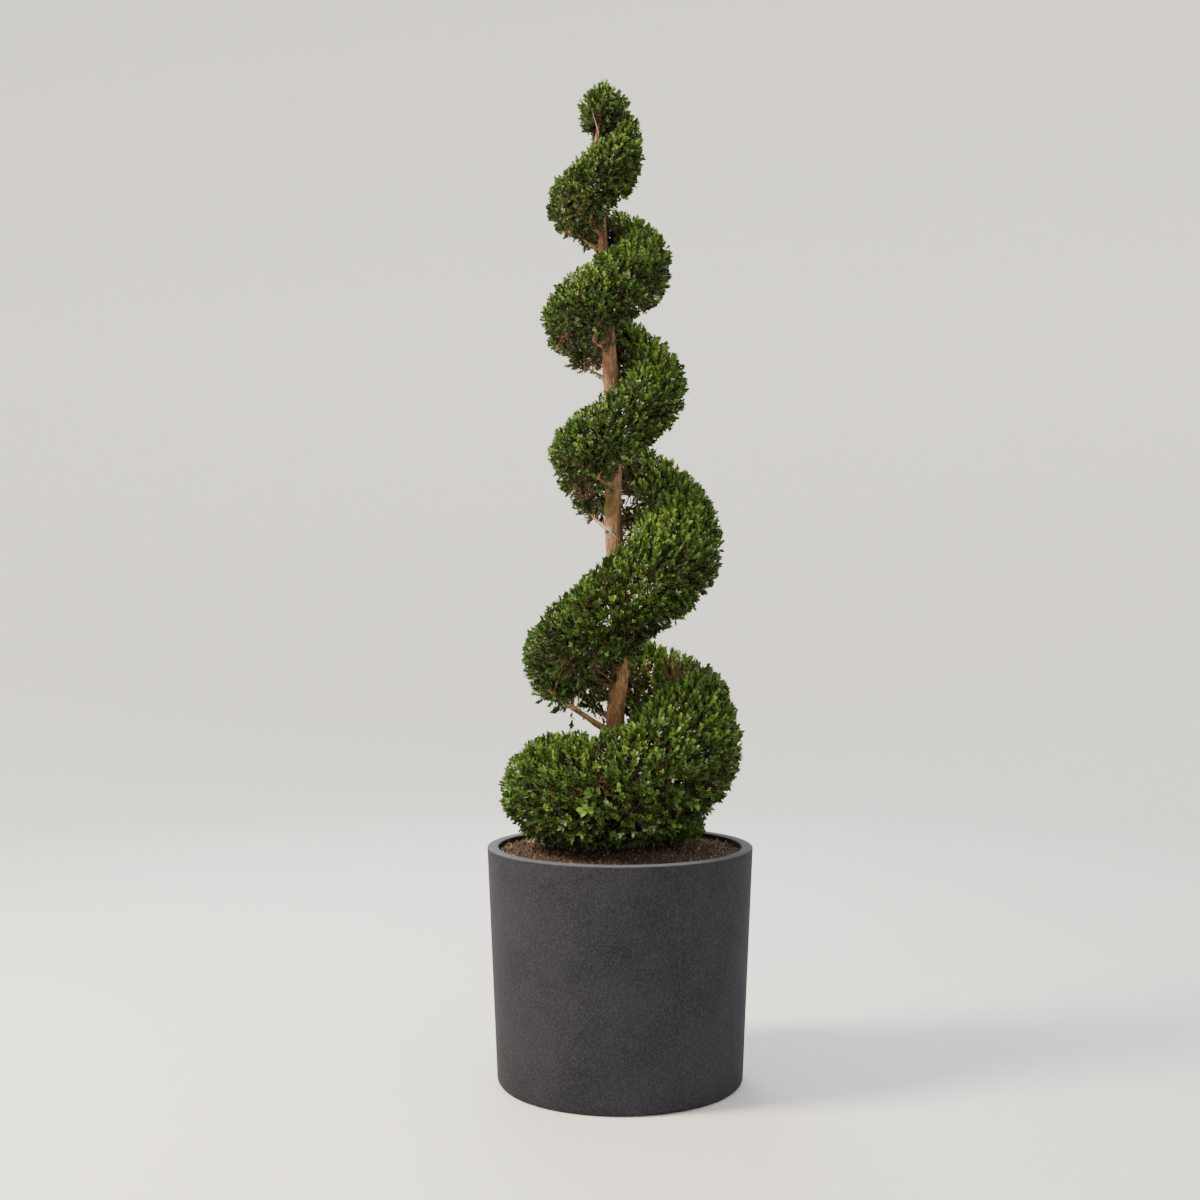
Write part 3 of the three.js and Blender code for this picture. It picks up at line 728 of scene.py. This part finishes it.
def trunk(curves):
    """The trunk with bark ridges, and a collar where each bough leaves it."""
    run = (np.arange(TRUNK_RINGS) / (TRUNK_RINGS - 1)) ** FOOT_CROWDING
    z = (TRUNK_FOOT + (TRUNK_TIP - TRUNK_FOOT) * run)[:, None]
    turn = (2 * np.pi * np.arange(TRUNK_SIDES) / TRUNK_SIDES)[None, :]
    lean, radius = along(TRUNK, z)
    rib = 1 + BARK_RIB * np.sin(3 * turn + z / RIB_HEIGHT)
    swell = 0
    for curve in curves:
        away = turn_from(turn, math.radians(curve["angle"])) * radius
        rise = z - curve["path"][0, 2] - radius * COLLAR_LIFT
        near = away ** 2 + rise ** 2
        swell = swell + COLLAR_RISE * np.exp(-near / COLLAR_WIDTH ** 2)
    scar_turn = math.atan2(SCAR[1], SCAR[0] - float(along(TRUNK, SCAR[2])[0]))
    away = turn_from(turn, scar_turn) * radius
    ring = np.hypot(away, SCAR_SQUASH * (z - SCAR[2])) - SCAR_RADIUS
    swell = swell + SCAR_RISE * np.exp(-(ring / SCAR_LIP) ** 2)
    reach = radius * (rib + swell + bark_relief(turn, z, TRUNK_RIDGES))
    rings = np.stack([lean + reach * np.cos(turn), reach * np.sin(turn), z + 0 * turn], -1)
    points = rings.reshape(-1, 3)
    faces = ring_faces(TRUNK_RINGS, TRUNK_SIDES)
    top = (TRUNK_RINGS - 1) * TRUNK_SIDES
    faces.append(tuple(range(TRUNK_SIDES - 1, -1, -1)))
    faces.append(tuple(range(top, top + TRUNK_SIDES)))
    settle(piece("trunk_bark", points, faces, BARK), "bark", "trunk")


def boughs(curves):
    """Every bough as a ridged, slightly knobbly limb."""
    turn = 2 * np.pi * np.arange(BOUGH_SIDES) / BOUGH_SIDES
    run = np.linspace(0, 1, BOUGH_RINGS)
    points, faces = tubes([c["path"] for c in curves], 1.0, BOUGH_SIDES)
    shaped = points.reshape(len(curves), BOUGH_RINGS, BOUGH_SIDES, 3)
    for curve, rings in zip(curves, shaped):
        centre = curve["path"][:, None]
        length = np.linalg.norm(curve["path"][-1] - curve["path"][0])
        radius = curve["root"] + (curve["tip"] - curve["root"]) * run
        knobs = 1 + BOUGH_KNOB * np.sin(run * length / KNOB_HEIGHT + curve["angle"])
        ridges = bark_relief(turn[None], run[:, None] * length, BOUGH_RIDGES)
        reach = (radius * knobs)[:, None] * (1 + ridges)
        rings[:] = centre + (rings - centre) * reach[..., None]
    settle(piece("bough_bark", shaped.reshape(-1, 3), faces, LIMB), "bark", *BOUGH_NODES)


def wood(name, paths, radii, sides, bark):
    """Limbs or twigs that stand among the leaves, joined in one piece."""
    settle(piece(name, *tubes(paths, radii, sides), bark), "bark", *FOLIAGE_NODES)


# Foliage

def leaf(length, width):
    """One leaf that grows along +Y and faces +Z, folded along its rib: its points and faces."""
    points = [(0, 0, 0), (0, length, 0)]
    for side in (1, -1):
        points += [(side * x * width, y * length, LEAF_FOLD * x * width) for x, y in LEAF_OUTLINE]
    return np.array(points), [(0, 2, 3, 1), (0, 1, 5, 4)]


def leafy_stem(dice, pairs, length, width, spread, tip_spread):
    """A stem along +Z with opposite leaves, each pair a quarter turn on from the last."""
    points, faces = [], []
    for k, share in enumerate(pairs):
        middle = tip_spread + (spread - tip_spread) * (1 - share ** 3)
        for side in (0, 1):
            bearing = math.pi * (0.5 * k + side) + dice.normal(0, BEARING_STRAY)
            tilt = math.radians(middle + dice.normal(0, SPREAD_STRAY))
            size = dice.uniform(*LEAF_SIZES)
            blade, blade_faces = leaf(size * length, size * width)
            out = np.array([math.cos(bearing), math.sin(bearing), 0])
            up = np.array([0, 0, 1.0])
            run = out * math.sin(tilt) + up * math.cos(tilt)
            face = up * math.sin(tilt) - out * math.cos(tilt)
            roll = dice.normal(0, LEAF_ROLL)
            wide = np.cross(run, face)
            wide, face = (wide * math.cos(roll) + face * math.sin(roll),
                          face * math.cos(roll) - wide * math.sin(roll))
            foot = up * share * SPRAY_LENGTH
            first = len(points)
            points += list(foot + blade @ np.array([wide, run, face]))
            faces += [tuple(first + i for i in f) for f in blade_faces]
    return np.array(points), faces


def stored(name, shapes):
    """A collection of meshes to instance, kept out of the scene."""
    kept = bpy.data.collections.new(name)
    for i, (points, faces) in enumerate(shapes):
        made = piece(f"{name}_{i:02d}", points, faces, TWIG_BARK)
        bpy.context.scene.collection.objects.unlink(made)
        kept.objects.link(made)
    return kept


def shapes_of(kind, count):
    """Shapes drawn from one kind of spray, as their places in the list of all shapes."""
    names = list(SPRAYS)
    first = sum(SPRAYS[name][0] for name in names[:names.index(kind)])
    return first + rng.integers(SPRAYS[kind][0], size=count)


# What each point of a spray carries, and its kind of attribute
POINT_VALUES = {"growth": "FLOAT_VECTOR", "facing": "FLOAT_VECTOR", "size": "FLOAT", "kind": "INT"}


def start_tree(name, **inputs):
    """A geometry tree with these inputs, each of its kind, and their sockets inside it."""
    group = bpy.data.node_groups.new(name, "GeometryNodeTree")
    for label, kind in inputs.items():
        group.interface.new_socket(label, in_out="INPUT", socket_type="NodeSocket" + kind)
    group.interface.new_socket("Made", in_out="OUTPUT", socket_type="NodeSocketGeometry")
    tree = Tree(group)
    given = group.nodes.new("NodeGroupInput")
    return tree, [Socket(tree, given.outputs[label]) for label in inputs]


def end_tree(tree, shapes, material, inputs):
    """Puts one of the shapes on each point, makes them real and gives them their finish."""
    apart = tree.add("GeometryNodeCollectionInfo", None,
                     {"Collection": shapes, "Separate Children": True, "Reset Children": True})
    placed = tree.add("GeometryNodeInstanceOnPoints", None,
                      {"Instance": apart, "Pick Instance": True, **inputs})
    real = tree.add("GeometryNodeRealizeInstances", None, {0: placed})
    done = tree.add("GeometryNodeSetMaterial", None, {"Geometry": real, "Material": material})
    tree.add("NodeGroupOutput", None, {0: done})
    return tree.tree


def spray_tree():
    """Puts one spray on each point, turned and sized by the point's own values."""
    tree, (points, sprays, material) = start_tree(
        "leaf sprays", Points="Geometry", Sprays="Collection", Finish="Material")
    growth, facing, size, kind = (
        tree.add("GeometryNodeInputNamedAttribute", {"data_type": data_type}, {"Name": name})
        for name, data_type in POINT_VALUES.items())
    turn = tree.add("FunctionNodeAxesToRotation", {"primary_axis": "Z", "secondary_axis": "X"},
                    {0: growth, 1: facing})
    return end_tree(tree, sprays, material, {
        "Points": points, "Instance Index": kind, "Rotation": turn, "Scale": size})


def scatter_tree():
    """Strews grains over the upper side of a surface, each with its own turn and size."""
    tree, (ground, grains, density, smallest, largest, seed, material) = start_tree(
        "strewn grains", Ground="Geometry", Grains="Collection", Density="Float",
        Smallest="Float", Largest="Float", Seed="Int", Finish="Material")
    up = tree.axis(tree.add("GeometryNodeInputNormal"), "Z")
    spots = tree.add("GeometryNodeDistributePointsOnFaces", None, {
        "Mesh": ground, "Density": density, "Seed": seed,
        "Selection": tree.add("FunctionNodeCompare", None, {0: up, 1: 0.5}),
    })
    turn = tree.add("FunctionNodeRandomValue", {"data_type": "FLOAT_VECTOR"},
                    {0: (0, 0, 0), 1: (2 * math.pi,) * 3, "Seed": seed})
    size = tree.add("FunctionNodeRandomValue", {"data_type": "FLOAT"},
                    {2: smallest, 3: largest, "Seed": seed}, 1)
    return end_tree(tree, grains, material, {"Points": spots, "Rotation": turn, "Scale": size})


def grown(name, base, group, values):
    """What the tree makes from a mesh, as a plain mesh object."""
    made = added(name, base)
    modifier = made.modifiers.new(name, "NODES")
    modifier.node_group = group
    for item in group.interface.items_tree:
        if item.in_out == "INPUT" and item.name in values:
            modifier[item.identifier] = values[item.name]
    graph = bpy.context.evaluated_depsgraph_get()
    mesh = bpy.data.meshes.new_from_object(made.evaluated_get(graph), depsgraph=graph)
    made.modifiers.remove(modifier)
    made.data = mesh
    for spent in POINT_VALUES:
        if spent in mesh.attributes:
            mesh.attributes.remove(mesh.attributes[spent])
    return made


def within(oval, points):
    """True where a point lies in an upright oval, seen from the front."""
    x, z, half_width, half_height = oval
    return ((points[:, 0] - x) / half_width) ** 2 + ((points[:, 2] - z) / half_height) ** 2 < 1


class Mass:
    """One mass of foliage: its surface, its limbs and where twigs may leave them."""

    def __init__(self, number, curves):
        self.start = SPIRAL[0, 0] + (number - 1) * MASS_SPAN
        self.low = number <= LOW_MASSES
        self.open = number == WINDOW_MASS
        middle = self.start + MASS_SPAN / 2
        height, half, _, _ = spiral_at(middle)
        self.size = float(np.interp(height, SIZE_HEIGHTS, SIZES_THERE))
        self.boughs = [c["path"] for c in curves if c["mass"] == number]
        heart = heart_at(middle)
        if self.boughs:
            self.root = self.boughs[0][0]
            leaving = self.boughs[0][-1]
        else:
            foot = max(heart[2] - STEM_RISE, TRUNK_FOOT + STEM_RISE)
            self.root = leaving = round_trunk(0, 0 * height, foot)
        run = SPINE_RUN * np.linspace(0, 1, LIMB_STEPS) * MASS_SPAN
        ahead, behind = heart_at(middle + run), heart_at(middle - run)
        onward = unit(leaving - self.boughs[0][-2]) if self.boughs else unit(heart - leaving)
        bend = (leaving + heart) / 2 + onward * STEM_BEND * np.linalg.norm(heart - leaving)
        stem = bezier(leaving, bend, heart, LIMB_STEPS)
        self.limbs = [(stem, STEM_TAPER), (ahead, SPINE_TAPER), (behind, SPINE_TAPER)]
        lowest = max(height - half - FORK_DROP, TRUNK_FOOT)
        z = np.linspace(lowest, min(height + FORK_TOP * half, TRUNK_TIP), LIMB_STEPS)
        trunk_line = round_trunk(0, 0 * z, z)
        outer_boughs = [path[BOUGH_RINGS // 3:] for path in self.boughs]
        self.carriers = np.concatenate([ahead, behind, trunk_line, *outer_boughs])

    def surface(self, u, v, depth):
        return outline_point(self.start + u * MASS_SPAN, 360 * v, depth)

    def openness(self, points):
        """The share of shoots that grow at each point: few of them in the opening."""
        return np.where(self.open & within(WINDOW, points), WINDOW_SHARE, 1)

    def fullness(self, u, v, points):
        """Share of shoots in leaf: fewest below and by the trunk, most so on the shaded side."""
        inward, down = -np.cos(2 * np.pi * v), -np.sin(2 * np.pi * v)
        thin = THIN_BELOW * np.maximum(0, down) + THIN_INSIDE * np.maximum(0, inward)
        shade = (1 + np.cos(np.radians(self.start + u * MASS_SPAN - SHADIEST))) / 2
        behind = (points[:, 1] > BARE_FROM) & (inward > BARE_INWARD)
        bare = behind & np.any([within(patch, points) for patch in BARE_PATCHES], axis=0)
        return (1 - thin * (SUNNY_THIN + (1 - SUNNY_THIN) * shade)) * np.where(bare, BARE_SHARE, 1)


class Crown:
    """The tuft round the trunk's tip."""

    def __init__(self):
        self.low = False
        self.size = float(np.interp(CROWN["z"], SIZE_HEIGHTS, SIZES_THERE))
        low, high = (CROWN["z"] + share * CROWN["half"] for share in CROWN_CARRIERS)
        z = np.linspace(low, high, LIMB_STEPS)
        self.carriers = round_trunk(0, 0 * z, z)
        self.root = self.carriers[0]
        top = [CROWN["x"], 0, CROWN["z"] + LEADER_RISE]
        self.limbs = [(np.linspace([LEADER_FOOT, 0, TRUNK_TIP], top, LIMB_STEPS), SPINE_TAPER)]

    def surface(self, u, v, depth):
        return crown_point(360 * u, 360 * v / 2 - 90, depth)

    def fullness(self, u, v, points):
        return np.ones_like(v)

    def openness(self, points):
        return np.where((points[:, 1] < 0) & within(HOLLOW, points), HOLLOW_SHARE, 1)


def stretch(mass, u, v):
    """How much clipped surface one unit of u and v covers."""
    here = mass.surface(u, v, 0)
    along_u = (mass.surface(u + SMALL, v, 0) - here) / SMALL
    along_v = (mass.surface(u, v + SMALL, 0) - here) / SMALL
    return np.linalg.norm(np.cross(along_u, along_v), axis=-1)


def spread_evenly(mass, area):
    """Places on a mass's surface, one to so much area."""
    grid = np.linspace(0, 0.99, GRID)
    widest = stretch(mass, *np.meshgrid(grid, grid)).max()
    count = int(widest / area)
    n = np.arange(count)
    u = (n + 0.5) / count
    v = (n * GOLDEN + JITTER * rng.random(count)) % (1 - SMALL)
    kept = rng.random(count) * widest < stretch(mass, u, v)
    return u[kept], v[kept]


def clear_of_limbs(points, curves):
    """True where a point is clear of trunk and boughs."""
    lean, radius = along(TRUNK, points[:, 2])
    reach = np.hypot(points[:, 0] - lean, points[:, 1])
    clear = (reach > radius + LIMB_CLEARANCE) | (points[:, 2] > TRUNK_TIP)
    for curve in curves:
        near = np.linalg.norm(points[:, None] - curve["path"][None], axis=-1).min(axis=1)
        clear &= near > curve["root"]
    return clear


def sprays_at(tip, growth, facing, size, tone, kind, leafy):
    """Sprays by where they end, how they run and face, their size, finish and kind."""
    return {"tip": tip, "root": tip - growth * (SPRAY_LENGTH * size)[:, None], "growth": growth,
            "facing": facing, "size": size, "tone": tone, "kind": kind, "leafy": leafy}


def clouds(points, per_metre):
    """Smooth random values from -1 to 1 at each point, so many to the metre."""
    return np.array([noise.noise(tuple(p * per_metre)) for p in points])


def grow_sprays(mass, curves):
    """The sprays that a mass's clipped surface carries, thinned where light comes in."""
    u, v = spread_evenly(mass, AREA_PER_SPRAY * mass.size ** 2)
    layer = rng.choice(len(LAYERS), len(u), p=[share for share, _, _ in LAYERS])
    nearest, deepest = (np.array([row[k] for row in LAYERS])[layer] for k in (1, 2))
    clipped = mass.surface(u, v, 0)
    gaps = np.clip(GAP_CONTRAST * clouds(clipped, GAPS_PER_METRE), 0, 1)
    depth = nearest + (deepest - nearest) * rng.random(len(u)) + GAP_DEPTH * gaps
    tip = mass.surface(u, v, depth)
    outward = unit(clipped - mass.surface(u, v, NORMAL_STEP))
    lean = unit(rng.normal(size=outward.shape))
    growth = unit(outward + SPRAY_LEAN * lean + SPRAY_RISE * np.array([0, 0, 1]))
    size = mass.size * rng.uniform(*SPRAY_SIZES, len(u))
    outer = layer == 0
    lush = outer & (tip[:, 2] < LUSH_HEIGHT) & (tip[:, 1] < LUSH_FRONT)
    lush &= rng.random(len(u)) < LUSH_SHARE
    # A few outer sprays take the pale grey-green finish: partly leaf undersides, partly painted
    # glints.
    pale = outer & ~lush & (rng.random(len(u)) < PALE_SHARE)
    rounded = rng.random(len(u)) < np.interp(tip[:, 2], ROUND_HEIGHTS, (0, ROUND_SHARE))
    kind = np.select([lush, pale, rounded],
                     [shapes_of(name, len(u)) for name in ("lush", "pale", "round")],
                     shapes_of("plain", len(u)))
    # Sprays that face up get brighter finishes and deeper layers darker ones: partly young and old
    # leaves, partly painted light from above and painted shade inside the mass.
    tone = MIDDLE_TONE + outward[:, 2] + PATCH_TONE * clouds(tip, PATCHES_PER_METRE)
    tone += LUSH_TONE * lush - LAYER_TONE * layer + rng.normal(0, TONE_SPREAD, len(u))
    tone = np.where(pale, UNDERSIDE_AND_GLINT_TONE, np.clip(tone, 0, YOUNG_AND_LIT_TONE))
    leafy = rng.random(len(u)) < mass.fullness(u, v, tip) * (1 - THIN_IN_GAPS * gaps)
    kept = clear_of_limbs(tip, curves) & (rng.random(len(u)) < mass.openness(tip))
    sprays = sprays_at(tip, growth, lean, size, tone, kind, leafy)
    return {key: value[kept] for key, value in sprays.items()}


def limb_shoots(mass):
    """Shoots from a mass's boughs and from the trunk under it, with their sprays."""
    feet, ways, leafy = [], [], []
    for path in mass.boughs:
        count = int(np.linalg.norm(path[-1] - path[0]) * BOUGH_SHOOTS_PER_METRE)
        foot = path[(rng.uniform(*BOUGH_SHOOT_RUN, count) * (BOUGH_RINGS - 1)).astype(int)]
        feet.append(foot)
        onward = BOUGH_SHOOT_ONWARD * unit(path[-1] - path[0])
        ways.append(rng.normal(size=foot.shape) + onward + BOUGH_SHOOT_RISE)
        leafy.append(rng.random(count) < BOUGH_SHOOT_LEAFY)
    angle = mass.start + MASS_SPAN * rng.random(TRUNK_SHOOTS)
    height, half, _, _ = spiral_at(angle)
    drop = rng.uniform(*TRUNK_SHOOT_DROPS, TRUNK_SHOOTS)
    z = np.clip(height - half + drop, TRUNK_FOOT, TRUNK_TIP)
    feet.append(round_trunk(angle, along(TRUNK, z)[1], z))
    outward = unit(feet[-1] - round_trunk(angle, 0 * z, z)) + TRUNK_SHOOT_RISE
    ways.append(outward + TRUNK_SHOOT_STRAY * rng.normal(size=outward.shape))
    leafy.append(np.full(TRUNK_SHOOTS, True))
    foot = np.concatenate(feet)
    growth = unit(np.concatenate(ways))
    tip = foot + growth * mass.size * rng.uniform(*SHOOT_LENGTHS, (len(foot), 1))
    size = mass.size * rng.uniform(*SPRAY_SIZES, len(foot))
    # Shoots under the masses take darker finishes, as a deeper layer would: partly older leaves and
    # partly painted shade.
    tone = np.clip(rng.normal(MIDDLE_TONE - LAYER_TONE, TONE_SPREAD, len(foot)), 0, YOUNG_AND_LIT_TONE)
    sprays = sprays_at(tip, growth, unit(rng.normal(size=foot.shape)), size, tone,
                       shapes_of("plain", len(foot)), np.concatenate(leafy))
    return sprays, np.stack([foot, (foot + tip) / 2, tip], axis=1)


def sprout():
    """One young shoot that comes up through the soil."""
    growth = unit(np.array([SPROUT["growth"]]))
    size, tone = np.array([SPROUT["size"]]), np.array([SPROUT["tone"]])
    tip = np.array([SPROUT["x"], SPROUT["y"], SOIL_EDGE]) + growth * SPRAY_LENGTH * size
    return sprays_at(tip, growth, np.array([[1.0, 0, 0]]), size, tone,
                     shapes_of("lush", 1), np.array([True]))


def grow_twigs(mass, sprays):
    """Twigs from the mass's limbs to anchors inside it, and from those to every spray's tip."""
    u, v = spread_evenly(mass, AREA_PER_TWIG)
    anchors = mass.surface(u, v, rng.uniform(*TWIG_DEPTHS, len(u)))
    cost = np.linalg.norm(anchors[:, None] - mass.carriers[None], axis=-1)
    cost = cost + FORK_EARLY * np.linalg.norm(mass.carriers - mass.root, axis=-1)
    start = mass.carriers[cost.argmin(axis=1)]
    length = np.linalg.norm(anchors - start, axis=-1, keepdims=True)
    bend = (start + anchors) / 2 + TWIG_BEND * length * rng.normal(size=anchors.shape)
    forks = bezier(start, bend, anchors, TWIG_STEPS)
    gap = np.linalg.norm(sprays["root"][:, None] - anchors[None], axis=-1)
    foot = anchors[gap.argmin(axis=1)]
    bend = sprays["root"] - sprays["growth"] * gap.min(axis=1)[:, None] * SHOOT_BEND
    middle = ((foot + sprays["root"]) / 2 + bend) / 2
    return forks, np.stack([foot, middle, sprays["tip"]], axis=1)


def leaves(name, sprays, tree, kinds, material):
    """One finish's sprays, grown from points that carry their turn and size."""
    points = bpy.data.meshes.new(name)
    points.from_pydata(sprays["root"].tolist(), [], [])
    for key, data_type in POINT_VALUES.items():
        field = "vector" if data_type == "FLOAT_VECTOR" else "value"
        points.attributes.new(key, data_type, "POINT").data.foreach_set(field, sprays[key].ravel())
    made = grown(name, points, tree, {"Sprays": kinds, "Finish": material})
    settle(made, "foliage", *FOLIAGE_NODES)


def foliage(curves):
    """Every mass's leaves, twigs and inner limbs, each kind joined apart."""
    masses = [Mass(i + 1, curves) for i in range(MASS_COUNT)] + [Crown()]
    patterns = [pattern for shapes, *pattern in SPRAYS.values() for _ in range(shapes)]
    kinds = stored("spray", [leafy_stem(np.random.default_rng(SEED + i), *pattern)
                             for i, pattern in enumerate(patterns)])
    tree = spray_tree()
    finishes = {name: finish(f"leaf {name}", Base_Color=code, **LEAF_SURFACE)
                for name, code in LEAF_FINISHES.items()}
    for level in ("low", "high"):
        here = [m for m in masses if m.low == (level == "low")]
        grown_sprays = [grow_sprays(m, curves) for m in here]
        twigs = [grow_twigs(m, sprays) for m, sprays in zip(here, grown_sprays)]
        from_limbs = [limb_shoots(m) for m in here if isinstance(m, Mass)]
        grown_sprays += [sprays for sprays, _ in from_limbs]
        if level == "low":
            grown_sprays.append(sprout())
        sprays = {key: np.concatenate([g[key] for g in grown_sprays]) for key in grown_sprays[0]}
        forks = np.concatenate([forked for forked, _ in twigs])
        shoots = np.concatenate([fine for _, fine in twigs + from_limbs])
        wood(f"twigs_{level}", forks, FORK_RADII, FORK_SIDES, FORK_BARK)
        wood(f"shoots_{level}", shoots, SHOOT_RADII, SHOOT_SIDES, TWIG_BARK)
        shade = np.round(sprays["tone"]).astype(int)
        for i, (name, material) in enumerate(finishes.items()):
            chosen = (shade == i) & sprays["leafy"]
            if chosen.any():
                leaves(f"leaves_{level}_{name}", {k: a[chosen] for k, a in sprays.items()},
                       tree, kinds, material)
    paths, tapers = zip(*(limb for m in masses for limb in m.limbs))
    radii = LIMB_RADIUS * np.array([np.linspace(*taper, LIMB_STEPS) for taper in tapers])
    wood("inner_limbs", paths, radii, LIMB_SIDES, FORK_BARK)


# Soil grains

def crumb(dice, size, flatness, length):
    """A rough lump of soil or bark, longer along X and thinner along Z."""
    points, faces = turned(GRAIN_PROFILE, GRAIN_SIDES)
    rough = 1 + dice.uniform(-GRAIN_ROUGHNESS, GRAIN_ROUGHNESS, points.shape)
    points = points * rough * size / 2
    return points * (length, 1, flatness), faces


def soil_grains(ground):
    """Crumbs, fibres and bark chips strewn over the soil."""
    tree = scatter_tree()
    dice = np.random.default_rng(SEED)
    for name, (code, size, flatness, length, density) in GRAINS.items():
        shapes = [crumb(dice, size * MM, flatness, length) for _ in range(GRAIN_SHAPES)]
        smallest, largest = GRAIN_SIZES
        made = grown(f"soil_{name}", bpy.data.meshes.new_from_object(ground), tree, {
            "Grains": stored(name, shapes), "Density": density, "Seed": SEED,
            "Smallest": smallest, "Largest": largest,
            "Finish": finish(f"soil {name}", Base_Color=code, Roughness=0.95),
        })
        settle(made, "soil", "soil")


# Studio

def softbox(name, place, size, power, tint):
    light = bpy.data.lights.new(name, "AREA")
    light.shape = "DISK"
    light.size = size
    light.energy = power
    light.color = colour(tint)[:3]
    made = added(name, light)
    made.location = place
    made.rotation_euler = (Vector(LIGHTS_AIM) - Vector(place)).to_track_quat("-Z", "Y").to_euler()


def studio():
    """A pale sweep that rises all round, soft light from the upper left and the camera."""
    curve = corner((SWEEP_RADIUS - SWEEP_ROUND, SWEEP_ROUND), SWEEP_ROUND, -90, 0, SWEEP_STEPS)
    rings = circles([(SWEEP_MIDDLE, 0), *curve, (SWEEP_RADIUS, SWEEP_HEIGHT)], SWEEP_SIDES)
    faces = [face[::-1] for face in ring_faces(len(rings), SWEEP_SIDES)]
    faces.append(tuple(range(SWEEP_SIDES)))
    paper = finish("paper", Base_Color="#f8f7f5", Roughness=0.9)
    piece("paper_sweep", np.concatenate(rings), faces, paper)
    for name, light in LIGHTS.items():
        softbox(name, *light)
    world = bpy.data.worlds.new("studio")
    world.use_nodes = True
    sky = world.node_tree.nodes["Background"].inputs
    sky["Color"].default_value = colour(SKY_TINT)
    sky["Strength"].default_value = SKY_STRENGTH
    bpy.context.scene.world = world
    lens = bpy.data.cameras.new("camera")
    lens.lens = CAMERA_LENS
    camera = added("camera", lens)
    camera.location = CAMERA_PLACE
    camera.rotation_euler = (math.radians(90 + CAMERA_PITCH), 0, 0)
    bpy.context.scene.camera = camera


studio()
planter()
ground = soil()
soil_grains(ground)
bough_paths = bough_curves()
trunk(bough_paths)
boughs(bough_paths)
wood("dry_twigs", DRY_TWIGS, DRY_TWIG_RADII, LIMB_SIDES, DRY_BARK)
foliage(bough_paths)
